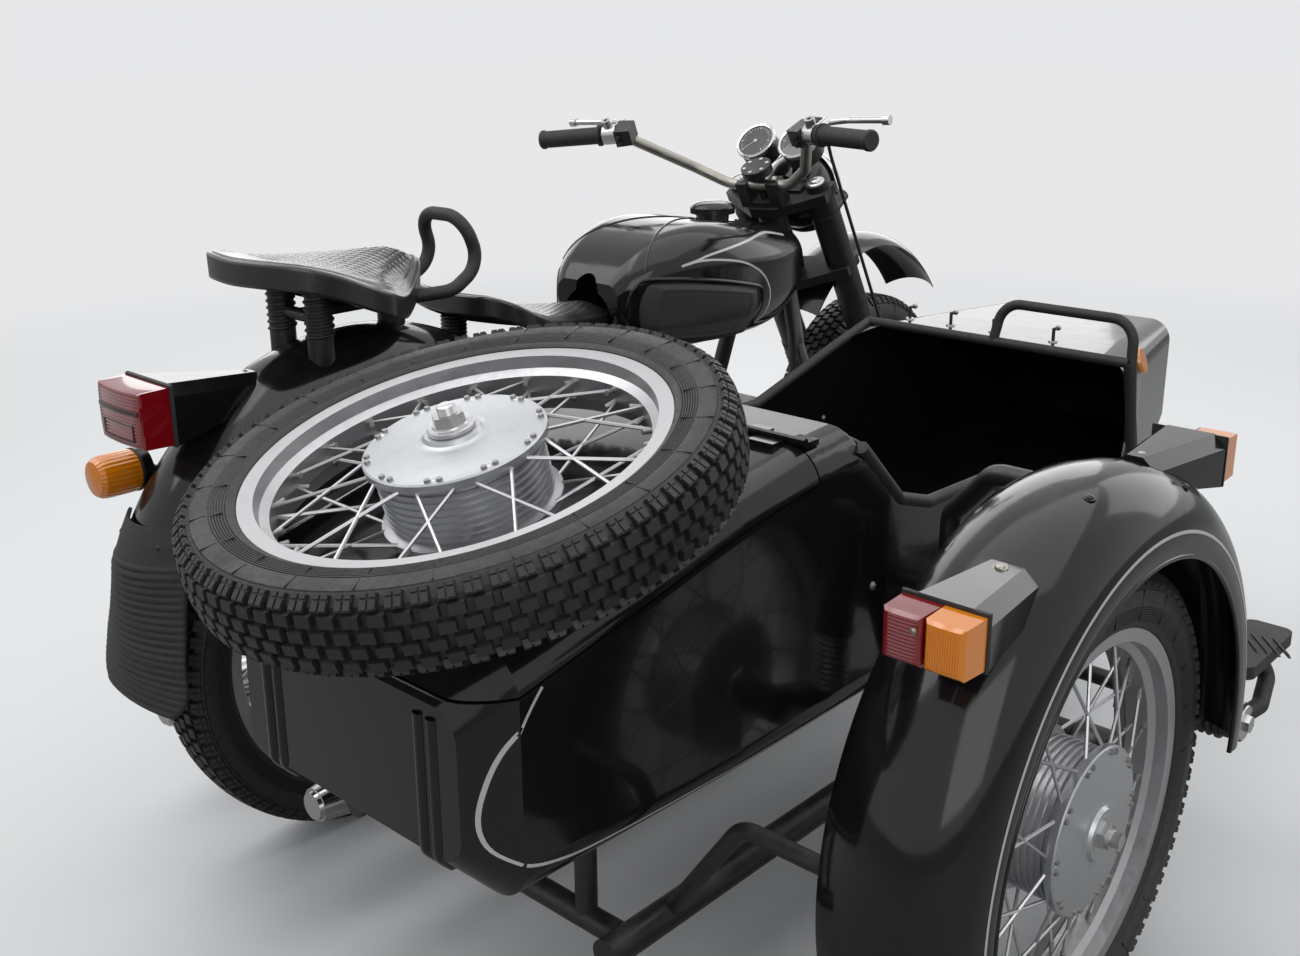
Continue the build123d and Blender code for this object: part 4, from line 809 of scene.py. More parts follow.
# z, x of the flap's middle, how far its edges stand forward, half width
flap_rows = [
    (604, -355.5, 30, 70), (582, -367, 38, 79), (561, -376.8, 49, 88), (543, -384, 49, 91),
    (420, -391, 30, 108), (337, -388, 18, 124),
]
FLAP_TOP, FLAP_FOOT = flap_rows[0][0], flap_rows[-1][0]
FLAP_CORNER = 48

# The middle of the sidecar mudguard's arch, as x and z
GUARD_X, GUARD_Z = 240, 362


class SIDECAR_OT_mudflap(bpy.types.Operator):
    """Builds the ribbed rubber mudflap, and the sidecar mudguard's bolts and lip."""

    bl_idname = "sidecar.mudflap"
    bl_label = "Mudflap"

    def execute(self, context):
        bm = bmesh.new()
        for vert in bmesh.ops.create_grid(bm, x_segments=40, y_segments=200, size=1)["verts"]:
            z = FLAP_TOP - (1 - vert.co.y) / 2 * (FLAP_TOP - FLAP_FOOT)
            for upper, lower in zip(flap_rows, flap_rows[1:]):
                if upper[0] >= z >= lower[0]:
                    share = (upper[0] - z) / (upper[0] - lower[0])
                    x, bow, half = (a + (b - a) * share for a, b in zip(upper[1:], lower[1:]))
            full = half
            corner = FLAP_FOOT + FLAP_CORNER - z
            if corner > 0:
                half -= FLAP_CORNER - sqrt(FLAP_CORNER ** 2 - corner ** 2)
            y = vert.co.x * half
            crest = (0.5 - 0.5 * cos(2 * pi * (z - FLAP_FOOT) / 10.4)) ** 2
            fade = min(1.0, (1 - abs(vert.co.x)) * 14) * (1 if z < 556 else 0)
            vert.co = (x + bow * (y / full) ** 2 - 1.8 * crest * fade, y, z)
        thicken(keep(bm, "mudflap_ribbed", "black_rubber", stands_for=("mudflap",)), 5)
        bm = bmesh.new()
        for y in (-52, 0, 52):
            domed_bolts(bm, [(-366 + y * y * 0.0045, y, 580)], (-0.93, y * 0.007, 0.3))
        guard = surface_of("sidecar_fender")
        for spot in ((172, -1172, 777), (380, -1205, 752), (455, -1160, 722)):
            out = Vector((spot[0] - GUARD_X, (spot[1] - SIDECAR_AXLE[1]) * 2.4, spot[2] - GUARD_Z))
            domed_bolts(bm, [WORK.inverted() @ guard.find_nearest(WORK @ Vector(spot))[0]], out)
        keep(bm, "mudguard_bolts", "alloy", "gloss_black", sharp=50)
        bm = bmesh.new()
        lip = []
        for angle in (radians(-8 + step * 3) for step in range(67)):
            lip.append((GUARD_X + 327 * cos(angle), -1229, GUARD_Z + 327 * sin(angle)))
        bent_rod(bm, lip, 3.4, 3)
        keep(bm, "mudguard_lip", "gloss_black", sharp=60)
        return {"FINISHED"}


# Seats

def cushion(bm, size, matrix, crown, channels):
    """A stuffed form: crowned faces, sides that pull in between the corners, and sewn channels."""
    edges = list({edge for vert in bmesh.ops.create_cube(bm, size=2)["verts"] for edge in vert.link_edges})
    bmesh.ops.subdivide_edges(bm, edges=edges, cuts=44, use_grid_fill=True)
    length, width, height = size
    for vert in bm.verts:
        a, b, c = vert.co
        squash = max(abs(a), abs(b), abs(c))
        soft = [
            value * (1 - 0.10 * abs(other) ** 6 * abs(third) ** 6)
            for value, other, third in ((a, b, c), (b, a, c), (c, a, b))
        ]
        x = soft[0] * (length / 2 - 5 * (1 - b * b) * abs(a) ** 3)
        y = soft[1] * (width / 2 - 5 * (1 - a * a) * abs(b) ** 3)
        rise = crown * (1 - a ** 4) * (1 - b ** 4)
        z = soft[2] * (height / 2 - crown) + (rise if c > 0 else 0) * max(0.0, c)
        if c > 0:
            for channel in channels:
                z -= 7 * exp(-((y - channel) / 5) ** 2) * min(1.0, (1 - abs(a)) * 6) * c
        far_a, far_b, far_c = abs(a) ** 10, abs(b) ** 10, abs(c) ** 10
        edge = 6 * (far_a * far_b + far_b * far_c + far_a * far_c) / 3
        vert.co = matrix @ Vector((x - edge * a * squash, y - edge * b * squash, z - edge * c * squash))


# The middle of the sidecar's seats, and of its body, across the outfit
SEAT_Y = -585


class SIDECAR_OT_seats(bpy.types.Operator):
    """Builds the sidecar's stuffed seat cushion and backrest, with their piping."""

    bl_idname = "sidecar.seats"
    bl_label = "Sidecar seats"

    def execute(self, context):
        seat_at = moved(440, SEAT_Y, 446)
        back_at = moved(252, SEAT_Y, 632) @ turned(79, "Y")
        for name, size, place, crown, stands in (
            ("seat_cushion", (386, 500, 118), seat_at, 14, ("sidecar_seats",)),
            ("seat_backrest", (236, 480, 66), back_at, 12, ()),
        ):
            bm = bmesh.new()
            cushion(bm, size, place, crown, range(-150, 151, 75))
            keep(bm, name, "seat_vinyl", sharp=70, stands_for=stands)
            bm = bmesh.new()
            length, width, height = size
            corners = []
            for a, b in ((1, 1), (0, 1), (-1, 1), (-1, 0), (-1, -1), (0, -1), (1, -1), (1, 0)):
                pull = 0.965 if a and b else 0.955
                spot = Vector((a * length / 2 * pull, b * width / 2 * pull, height / 2 - crown + 1))
                corners.append(place @ spot)
            bent_rod(bm, smooth_line(corners, 30, True), 3.2, 2, cyclic=True)
            keep(bm, f"{name}_piping", "seat_vinyl", "black_plastic", sharp=60)
        return {"FINISHED"}


# Controls, dials and headlamp, in the steering axes

GRIP_RIBS = 22
DIAL_UP = Vector((-0.35, 0, 1)).normalized()
LAMP_AT = Vector((134, 0, -62))
LAMP_FACE = Vector((cos(RAKE), 0, -sin(RAKE)))
LAMP_RADIUS = 79.5


def grip_line(side):
    """The outer and the inner end of a grip."""
    return Vector((-155, side * 385, 250)), Vector((-105, side * 225, 232))


def dial_seat(side):
    """The middle of a dial's face, with Z towards the rider's eye."""
    return aim((92, side * 52, 88), DIAL_UP)


class SIDECAR_OT_controls(bpy.types.Operator):
    """Builds the grips, dials, headlamp ring, glass and bowl, switch boxes and the fork's bolts."""

    bl_idname = "sidecar.controls"
    bl_label = "Handlebar and lamp"

    def execute(self, context):
        bm = bmesh.new()
        for side in (1, -1):
            outer, inner = grip_line(side)
            along = (inner - outer).normalized()
            length = (inner - outer).length * 0.78 + 4
            profile = [(0, -3), (17, -3), (19.5, 0), (19.5, 5), (17.6, 8)]
            for rib in range(GRIP_RIBS):
                at = 10 + rib * (length - 24) / GRIP_RIBS
                profile += [(16.8, at), (17.6, at + 1.2), (17.6, at + 3.4), (16.8, at + 4.4)]
            profile += [(17.4, length - 10), (22, length - 8), (22, length - 3)]
            profile += [(17, length - 1), (0, length - 1)]
            lathe(bm, profile, 48, aim(outer - along * 4, along) @ UPRIGHT)
        keep(bm, "grip_rubbers", "black_rubber", sharp=40, stands_for=("grips",), **ON_FORK)
        bm = bmesh.new()
        ring = [
            (43.5, -8), (44.5, -4), (44.5, 1.5), (42, 3.2), (38.5, 2.4), (38.5, 0.2), (42, 0.2), (42, -8),
        ]
        for side in (1, -1):
            lathe(bm, ring, 64, dial_seat(side) @ UPRIGHT)
        keep(bm, "dial_rings", "alloy", "exhaust_chrome", 40, **ON_FORK)
        bm = bmesh.new()
        for side in (1, -1):
            drum(bm, 40, 40, 0.8, dial_seat(side) @ moved(0, 0, 0.1), 48)
        keep(bm, "dial_faces", "black_plastic", "dial_face", 40, **ON_FORK)
        bm = bmesh.new()
        for side in (1, -1):
            seat = dial_seat(side) @ moved(0, 0, 1.0)
            for tick in range(25):
                turn = turned(-135 + tick * 270 / 24, "Z")
                width, length = (0.9, 3.6) if tick % 4 else (1.6, 6)
                block(bm, (width, length, 0.4), seat @ turn @ moved(0, 32, 0.3))
            block(bm, (1.6, 30, 0.6), seat @ turned(135, "Z") @ moved(0, 12, 0.8), 0.6)
            drum(bm, 4, 3.4, 1.8, seat, 20)
        keep(bm, "dial_marks", "black_plastic", "dial_white", 40, **ON_FORK)
        bm = bmesh.new()
        rim = [(80, -4), (82, 1.5), (86, 4.5), (90, 3), (91.5, -3), (91, -12), (88.2, -15), (88.2, -4)]
        lathe(bm, rim, 96, aim(LAMP_AT, LAMP_FACE) @ UPRIGHT)
        keep(bm, "headlamp_ring", "alloy", "exhaust_chrome", **ON_FORK)
        bm = bmesh.new()
        made = bmesh.ops.create_grid(bm, x_segments=72, y_segments=36, size=1)["verts"]
        for vert in made:
            u, v = vert.co.x, vert.co.y
            flute = 0.5 * abs(sin(u * 15 * pi / 2))
            x = u * sqrt(1 - v * v / 2) * LAMP_RADIUS
            y = v * sqrt(1 - u * u / 2) * LAMP_RADIUS
            vert.co = (x, y, 4.5 - 7.5 * (x * x + y * y) / LAMP_RADIUS ** 2 + flute)
        bmesh.ops.transform(bm, verts=made, matrix=aim(LAMP_AT, LAMP_FACE))
        glass = keep(bm, "headlamp_glass", "clear_glass", "lamp_glass", 30, ("headlamp_lens",), **ON_FORK)
        thicken(glass, 2.5)
        bm = bmesh.new()
        bowl = [(0, -46), (20, -42), (48, -30), (70, -14), (78, -6), (79, -4)]
        bowl += [(78, -4), (66, -12), (46, -26), (20, -38), (0, -42)]
        lathe(bm, bowl, 72, aim(LAMP_AT - LAMP_FACE, LAMP_FACE) @ UPRIGHT)
        keep(bm, "headlamp_bowl", "alloy", "exhaust_chrome", 40, **ON_FORK)
        bm = bmesh.new()
        lamp_up = Vector((sin(RAKE), 0, cos(RAKE)))
        knob = aim(LAMP_AT - LAMP_FACE * 40 + lamp_up * 72, lamp_up)
        drum(bm, 18, 16, 10, knob, 32)
        drum(bm, 11, 9, 24, knob)
        for side in (1, -1):
            outer, inner = grip_line(side)
            perch = outer + (inner - outer) * 0.86
            along = (inner - outer).normalized()
            block(bm, (46, 36, 34), aim(perch + along * 20, along) @ moved(0, 0, 17), 0.92)
            for height in (4, -10):
                drum(bm, 5, 4.4, 9, aim(perch + along * 36 + Vector((-22, 0, height)), (-1, 0, 0.2)), 16)
        keep(bm, "switch_boxes", "black_plastic", **ON_FORK)
        bm = bmesh.new()
        domed_bolts(bm, [(-6, 38, 62), (-6, -38, 62)], UP)
        domed_bolts(bm, [(FORK_X, 95, 16), (FORK_X, -95, 16)], UP, 12)
        domed_bolts(bm, ring_spots((0, 0, 88), (0, 1), 24, 6), UP, 3)
        keep(bm, "fork_bolts", "alloy", sharp=50, **ON_FORK)
        return {"FINISHED"}


# Tank trim

FILLER_X, FILLER_Z = 915, 914
# Below the first height the tank's side turns under, and below the second there is none
TANK_TURN, TANK_FOOT = 742, 718


def knee_point(u, v, spread):
    """A knee rubber's point, as x and z, from shares of its length and height about its middle."""
    round_u = u * sqrt(1 - 0.24 * v * v) * spread
    round_v = v * sqrt(1 - 0.24 * u * u) * spread
    along, up = (1 + round_u) / 2, (1 + round_v) / 2
    low_x, high_x = 586 + (832 - 586) * along, 586 + (872 - 586) * along
    low_z, high_z = 713 - 9 * along, 838 - 46 * along
    return low_x + (high_x - low_x) * up, low_z + (high_z - low_z) * up


class SIDECAR_OT_tank(bpy.types.Operator):
    """Builds the knee rubbers, the filler cap and the tank's seam."""

    bl_idname = "sidecar.tank"
    bl_label = "Tank trim"

    def execute(self, context):
        tree = surface_of("tank")
        bm = bmesh.new()
        for side in (1, -1):
            made = bmesh.ops.create_grid(bm, x_segments=84, y_segments=44, size=1)["verts"]
            for vert in made:
                u, v = vert.co.x, vert.co.y
                x, z = knee_point(u, v, 1.0)
                point, _ = on_surface(tree, (x, side * FAR_OFF, max(z, TANK_TURN)), (0, -side, 0))
                edge = max(abs(u), abs(v))
                rise = 7.5 * (1 - edge ** 10) + 1.5 * exp(-((edge - 0.8) / 0.035) ** 2)
                rise += 0.5 * (0.5 + 0.5 * cos(u * 60)) * (1 if edge < 0.7 else 0)
                vert.co = (x, point.y + side * rise, z)
            rim = {edge for vert in made for edge in vert.link_edges if edge.is_boundary}
            inner = new_verts(bmesh.ops.extrude_edge_only(bm, edges=list(rim))["geom"])
            bmesh.ops.translate(bm, verts=inner, vec=(0, -side * 24, 0))
        keep(bm, "knee_rubbers", "black_rubber", sharp=50, stands_for=("knee_pads",))
        bm = bmesh.new()
        for side in (1, -1):
            starts = []
            for angle in (2 * pi * step / 48 for step in range(48)):
                share = 1 / max(abs(cos(angle)), abs(sin(angle)))
                x, z = knee_point(cos(angle) * share, sin(angle) * share, 1.12)
                starts.append((x, side * FAR_OFF, max(z, TANK_FOOT)))
            bent_rod(bm, traced(tree, starts, (0, -side, 0), -2.6), 5.5, 4, cyclic=True, fine=3)
        keep(bm, "knee_surrounds", "gloss_black", sharp=60)
        bm = bmesh.new()
        profile = [(0, 25), (16, 24.6), (30, 22.6), (40, 19), (44.5, 15.5), (46, 12.5), (45.4, 11)]
        profile += [(43.6, 10.6), (43.6, 1.2), (42, 0.4), (0, 0.4)]
        lathe(bm, profile, 72, moved(FILLER_X, 0, FILLER_Z) @ UPRIGHT)
        lid = moved(FILLER_X, 0, FILLER_Z + 5.6)
        for turn in range(40):
            block(bm, (4, 3.6, 9.6), lid @ turned(9 * turn, "Z") @ moved(42.8, 0, 0), 0.95)
        keep(bm, "filler_lid", "black_plastic", "gloss_black", sharp=40, stands_for=("filler_cap",))
        bm = bmesh.new()
        rear_seam = [(600, 106), (634, 88), (700, 58), (780, 28), (862, 6)]
        front_seam = [(968, 0.2), (1000, 0.2), (1040, 0.2)]
        for seam in (rear_seam, front_seam, [(x, -y) for x, y in rear_seam]):
            starts = smooth_line([Vector((x, y, 1000)) for x, y in seam], 12)
            bent_rod(bm, traced(tree, starts, (0, 0, -1), 0.2), 2.0, 2, fine=3)
        keep(bm, "tank_seam", "gloss_black", sharp=60)
        return {"FINISHED"}


# Engine

# The left cylinder stands ahead of the middle and the right one behind it, and HEAD_Y is its outer end
CYLINDER_X, CYLINDER_Z = 850, 330
STAGGER = 20
HEAD_Y = 371
# The gearbox and the air cleaner above it, the timing cover, the carburettors, and the exhaust pipes
GEARBOX_X, GEARBOX_Z = 650, 335
TIMING_X, TIMING_Z = 1016, 345
CARBURETTOR_Y = 269
PIPE_Y, PIPE_Z = 215, 185


class SIDECAR_OT_engine(bpy.types.Operator):
    """Adds covers, ribs and screws to the engine, gearbox, carburettors and final drive."""

    bl_idname = "sidecar.engine"
    bl_label = "Engine"

    def execute(self, context):
        bm = bmesh.new()
        for side in (1, -1):
            out = (0, side, 0)
            x = CYLINDER_X + side * STAGGER
            block(bm, (136, 132, 9), aim((x, side * 119, CYLINDER_Z), out), 0.97)
            corners = [(x + a, side * 123.5, CYLINDER_Z + b) for a in (-56, 56) for b in (-54, 54)]
            domed_bolts(bm, corners, out, 6)
            for shift in (-22, 0, 22):
                block(bm, (7, 78, 5), aim((x + shift, side * (HEAD_Y + 3), CYLINDER_Z), out), 0.75)
            drum(bm, 11, 10, 9, aim((x, side * HEAD_Y, CYLINDER_Z), out), 6)
            domed_bolts(bm, [(x + 34, side * HEAD_Y, z) for z in (288, 372)], out, 4)
            drum(bm, 92, 86, 7, aim((GEARBOX_X, side * 114, GEARBOX_Z), out), 64)
            domed_bolts(bm, ring_spots((GEARBOX_X, side * 121, GEARBOX_Z), (0, 2), 78, 8, 22), out, 4.5)
            domed_bolts(bm, [(985, side * 115, z) for z in (232, 262, 292, 372, 402, 432)], out, 4.5)
            for ahead in range(720, 769, 12):
                block(bm, (3.2, 74, 8), aim((ahead, side * 117, 400), out), 0.8)
        drum(bm, 96, 90, 12, aim((TIMING_X - 12, 0, TIMING_Z), AHEAD), 72)
        drum(bm, 40, 36, 10, aim((TIMING_X, 0, TIMING_Z), AHEAD), 48)
        domed_bolts(bm, ring_spots((TIMING_X, 0, TIMING_Z), (1, 2), 84, 10), AHEAD, 4.5)
        for ahead in range(662, 915, 28):
            block(bm, (4, 190, 7), moved(ahead, 0, 211))
        keep(bm, "engine_covers", "engine_alloy")
        bm = bmesh.new()
        for side in (1, -1):
            x = CYLINDER_X + side * STAGGER - 72
            y = side * CARBURETTOR_Y
            for level, radius in ((298, 22), (330, 22.5), (366, 22.5), (398, 21.5)):
                drum(bm, radius, radius, 4, aim((x - 34, y, level), UP), 32)
            drum(bm, 8, 7, 14, aim((x - 34, y, 400), UP), 6)
            for at in (6, 62):
                drum(bm, 26.5, 26.5, 7, aim((x - at, y, 345), BACK), 32)
            domed_bolts(bm, [(x - 34 + a, y + b, 400) for b in (-15, 15) for a in (-17, 17)], UP, 2.6)
        for level in (455, 500, 548):
            drum(bm, 73.5, 73.5, 5, aim((GEARBOX_X, 0, level), UP), 64)
        drum(bm, 60, 20, 9, aim((GEARBOX_X, 0, 560), UP), 48)
        drum(bm, 7, 6, 12, aim((GEARBOX_X, 0, 566), UP), 6)
        keep(bm, "intake_details", "engine_alloy")
        bm = bmesh.new()
        domed_bolts(bm, ring_spots((0, -122, AXLE_Z), (0, 2), 70, 12), RIGHT, 4.5)
        drum(bm, 54, 46, 7, aim((0, -121.5, AXLE_Z), RIGHT), 64)
        for turn in range(24):
            block(bm, (3, 52, 5), moved(0, -92, AXLE_Z) @ turned(15 * turn, "Y") @ moved(0, 0, 81), 0.7)
        drum(bm, 15, 15, 9, aim((0, -130, AXLE_Z), RIGHT), 6)
        drum(bm, 15, 15, 9, aim((0, 121, AXLE_Z), LEFT), 6)
        keep(bm, "final_drive_details", "engine_alloy")
        bm = bmesh.new()
        for side in (1, -1):
            for x, radius in ((258, 22), (132, 42), (-152, 42)):
                drum(bm, radius, radius, 6, aim((x, side * PIPE_Y, PIPE_Z), BACK), 48)
            pipe = (CYLINDER_X + side * STAGGER + 52, side * 285, 300)
            drum(bm, 27, 27, 12, aim(pipe, (0.4, 0, -1)), 32)
            drum(bm, 23, 21, 6, aim((-240, side * PIPE_Y, PIPE_Z), BACK), 40)
        keep(bm, "exhaust_clamps", "exhaust_chrome")
        return {"FINISHED"}


# Springs, shock absorbers and fork

# Top and bottom eye of each shock absorber
shocks = [
    ((60, 165, 700), (30, 165, 340)), ((60, -165, 700), (30, -165, 340)),
    ((340, -965, 610), (310, -965, 312.5)),
]
SHOCK_TURNS, SHOCK_STEPS = 10, 120
SHOCK_RADIUS = 24.5


class SIDECAR_OT_suspension(bpy.types.Operator):
    """Adds the collars, eyes and springs of the shock absorbers and the fork's sleeves."""

    bl_idname = "sidecar.suspension"
    bl_label = "Suspension"

    def execute(self, context):
        bm = bmesh.new()
        coils = bmesh.new()
        for top, low in shocks:
            top = Vector(top)
            span = Vector(low) - top
            run = span.normalized()
            for share, radius, depth in ((0.06, 30, 6), (0.3, 28.4, 4), (0.57, 29.5, 10), (0.9, 25, 8)):
                drum(bm, radius, radius, depth, aim(top + span * share, run), 40)
            for eye in (top, Vector(low)):
                for facing in (1, -1):
                    drum(bm, 13, 13, 5, aim(eye + Vector((0, facing * 15, 0)), (0, facing, 0)), 6)
            across = run.cross(Vector(LEFT)).normalized() * SHOCK_RADIUS
            other = run.cross(across)
            coil = coil_line(top + span * 0.6, span * 0.29, across, other, SHOCK_TURNS, SHOCK_STEPS)
            bent_rod(coils, coil, 3.4, 2, fine=2)
        keep(bm, "shock_collars", "frame_black", sharp=40)
        keep(coils, "shock_springs", "aged_steel", "alloy", sharp=60)
        bm = bmesh.new()
        for side in (1, -1):
            for level, radius, depth in ((-432, 33, 10), (-300, 32.4, 5), (-60, 32.4, 5), (-640, 28.5, 8)):
                drum(bm, radius, radius, depth, aim((FORK_X, side * 95, level), UP), 40)
            fold = [(27, -440), (33, -444)]
            for level in range(-450, -523, -12):
                fold += [(29, level), (34, level - 6)]
            fold += [(28, -534), (26.4, -534), (26.4, -440)]
            lathe(bm, fold, 40, moved(FORK_X, side * 95, 0) @ UPRIGHT)
            drum(bm, 16, 15, 10, aim((FORK_X, side * 125, FORK_Z), (0, side, 0)), 6)
        keep(bm, "fork_sleeves", "frame_black", "black_rubber", 40, **ON_FORK)
        return {"FINISHED"}


# Sidecar trim

STEP_PIN_X, STEP_PIN_Z = 780, 256


class SIDECAR_OT_trim(bpy.types.Operator):
    """Adds the tail ribs, lid latch, deck hooks, reflector, step ribs, bellows and axle nuts."""

    bl_idname = "sidecar.trim"
    bl_label = "Sidecar trim"

    def execute(self, context):
        body = surface_of("sidecar_body")
        bm = bmesh.new()
        for y in (-440, -462, -730, -752):
            starts = [(-700, y, z) for z in range(596, 404, -8)]
            bent_rod(bm, traced(body, starts, AHEAD, -4), 9, 5, fine=2)
        keep(bm, "tail_ribs", "gloss_black", sharp=60)
        bm = bmesh.new()
        point, normal = on_surface(surface_of("trunk_lid"), (-900, -603, 632), AHEAD)
        if point is not None:
            seat = aim(point, normal)
            block(bm, (26, 40, 6), seat @ moved(0, 0, 3), 0.9)
            drum(bm, 10, 9, 9, seat @ moved(0, 0, 5))
            block(bm, (44, 10, 6), seat @ moved(0, 0, 15), 0.85)
        keep(bm, "lid_latch", "alloy", "aged_steel", sharp=40, body="boot_lid")
        bm = bmesh.new()
        for y in (-380, -470, -560, -680):
            ball(bm, 5.2, moved(1077, y, 750), 14, 8)
            drum(bm, 9, 8, 2.5, aim((1060, y, 727.2), UP), 20)
        for side in (1, -1):
            for x in (240, 420, 640, 860):
                point, normal = on_surface(body, (x, SEAT_Y + side * 325, 560), (0, -side, 0))
                if point is not None:
                    domed_bolts(bm, [point], normal, 4)
        keep(bm, "deck_hooks", "black_plastic", "aged_steel", sharp=50)
        bm = bmesh.new()
        point, normal = on_surface(body, (1145, -1000, 697), LEFT)
        if point is not None:
            drum(bm, 24, 22, 6, aim(point, normal), 40)
        keep(bm, "side_reflector", "amber_lens", sharp=40)
        bm = bmesh.new()
        for index in range(-3, 4):
            turn = moved(893, -1135, 337.5) @ turned(39, "Z")
            block(bm, (84 - abs(index) * 4, 4.5, 3.5), turn @ moved(index * 6, index * 14, 0), 0.8)
        keep(bm, "step_ribs", "black_rubber", sharp=40)
        bm = bmesh.new()
        fold = [(14.6, -1090), (30, -1090), (35, -1094)]
        for along in range(-1097, -1134, -12):
            fold += [(35, along), (29, along - 5), (35, along - 10)]
        lathe(bm, fold + [(35, -1148), (14.6, -1148.6)], 56, moved(STEP_PIN_X, 0, STEP_PIN_Z))
        keep(bm, "step_gaiter", "black_rubber", sharp=50, stands_for=("step_bellows",))
        bm = bmesh.new()
        for y, radius, top_radius, depth, sides in ((-1172, 30.5, 27, 8, 48), (-1179, 15, 14, 9, 6)):
            drum(bm, radius, top_radius, depth, aim((STEP_PIN_X, y, STEP_PIN_Z), RIGHT), sides)
        for y, radius, top_radius, depth, sides, look in (
            (-1199.5, 19, 18, 9, 6, RIGHT), (-1208, 15.5, 14.5, 5, 32, RIGHT),
            (-1212, 10.8, 10.2, 11.6, 24, RIGHT), (-1200.6, 26, 26, 3, 40, LEFT),
        ):
            drum(bm, radius, top_radius, depth, aim((SIDECAR_AXLE[0], y, AXLE_Z), look), sides)
        keep(bm, "axle_nuts", "aged_steel", "alloy", sharp=40)
        return {"FINISHED"}


# Pinstripes

# The loop on each side of the sidecar's body, as x and z
side_loop = [
    (66, 743), (-90, 716), (-230, 697), (-300, 676), (-352, 640), (-396, 582), (-416, 520), (-418, 474),
    (-400, 446), (-346, 424), (-249, 411), (0, 404), (500, 402), (960, 404),
]

# The tank's lines as x and z on its side: along the shoulder, over the knee rubber, and below in front
tank_lines = [
    [(664, 855), (700, 863), (737, 871), (828, 881), (922, 886), (1000, 872)],
    [(664, 855), (705, 861), (760, 857), (819, 844), (873, 816), (901, 779), (893, 741), (868, 719)],
    [(868, 719), (930, 714), (1000, 722)],
]


class SIDECAR_OT_stripes(bpy.types.Operator):
    """Lays the pinstripes on the sidecar, its mudguard and the tank."""

    bl_idname = "sidecar.stripes"
    bl_label = "Pinstripes"

    def execute(self, context):
        width = context.scene.outfit_finish.stripe_width
        bm = bmesh.new()
        body = surface_of("sidecar_body")
        for base, look in ((-850, LEFT), (-320, RIGHT)):
            stripe(bm, [(x, base, z) for x, z in side_loop], body, look, width)
        keep(bm, "body_stripes", "gloss_black", "stripe_silver")
        bm = bmesh.new()
        arch = []
        for angle in (radians(-6 + step * 6) for step in range(34)):
            reach = 357 - 7 * max(0.0, -cos(angle)) ** 2
            arch.append((GUARD_X + reach * cos(angle), -1240, GUARD_Z + reach * sin(angle)))
        stripe(bm, arch, surface_of("sidecar_fender"), LEFT, width)
        keep(bm, "mudguard_stripe", "gloss_black", "stripe_silver")
        bm = bmesh.new()
        tank = surface_of("tank")
        for side in (1, -1):
            for line in tank_lines:
                stripe(bm, [(x, side * 200, z) for x, z in line], tank, (0, -side, 0), width)
        keep(bm, "tank_stripes", "gloss_black", "stripe_silver")
        return {"FINISHED"}


# Stage

# The camera was fitted to the photograph, which is 1300 pixels wide
PHOTO_WIDTH = 1300
FOCAL_PIXELS = 1390.5
SHIFT_PIXELS = -44.5
SENSOR = 36
CAMERA_AT = Vector((-1231.9, -1799.6, 1293.4))

# Name, place, width, height and power of each lamp, in metres and watts
stage_lamps = [
    ("key_lamp", (-1.5, 1.8, 3.2), 2.6, 2.6, 42),
    ("back_lamp", (2.6, 2.9, 1.9), 4.8, 2.2, 44),
    ("sky_lamp", (0.2, -0.2, 3.6), 4.0, 4.0, 44),
    ("side_lamp", (-2.4, -3.2, 2.0), 2.4, 2.4, 26),
    ("nose_lamp", (3.2, -1.2, 2.2), 2.4, 2.4, 22),
]


def camera_turn(yaw, pitch, roll):
    """Rotation of a camera that looks along a yaw from +X, down by a pitch, with a roll."""
    ahead = Vector((cos(yaw) * cos(pitch), sin(yaw) * cos(pitch), -sin(pitch)))
    right = Vector((sin(yaw), -cos(yaw), 0))
    up = right.cross(ahead)
    rolled_right = right * cos(roll) + up * sin(roll)
    rolled_up = up * cos(roll) - right * sin(roll)
    return Matrix((rolled_right, rolled_up, -ahead)).transposed().to_4x4()


def seen_colour(tree, node, entry, seen, lit, mirrored=False):
    """Gives an input one colour where the camera or gloss sees it, and another where it lights."""
    path = add_node(tree, "ShaderNodeLightPath")
    mix = add_node(tree, "ShaderNodeMix", {"A": (*lit, 1), "B": (*seen, 1)}, data_type="RGBA")
    watched = (path, "Is Camera Ray")
    if mirrored:
        either = add_node(tree, "ShaderNodeMath", operation="MAXIMUM")
        wire(tree, (path, "Is Camera Ray", either, 0), (path, "Is Glossy Ray", either, 1))
        watched = (either, 0)
    wire(tree, (*watched, mix, "Factor"), (mix, "Result", node, entry))


def fade_out(tree, shader, colour, near, far):
    """Turns a floor into a plain backdrop with distance, for the camera only."""
    where = add_node(tree, "ShaderNodeTexCoord")
    reach = add_node(tree, "ShaderNodeVectorMath", operation="LENGTH")
    limits = {"From Min": near, "From Max": far}
    share = add_node(tree, "ShaderNodeMapRange", limits, interpolation_type="SMOOTHSTEP")
    path = add_node(tree, "ShaderNodeLightPath")
    seen = add_node(tree, "ShaderNodeMath", operation="MULTIPLY")
    glow = add_node(tree, "ShaderNodeEmission", {"Color": (*colour, 1)})
    blend = add_node(tree, "ShaderNodeMixShader")
    wire(
        tree, (where, "Object", reach, 0), (reach, "Value", share, "Value"), (share, "Result", seen, 0),
        (path, "Is Camera Ray", seen, 1), (seen, "Value", blend, "Fac"), (shader, "BSDF", blend, 1),
        (glow, "Emission", blend, 2), (blend, "Shader", tree.nodes["Material Output"], "Surface"),
    )


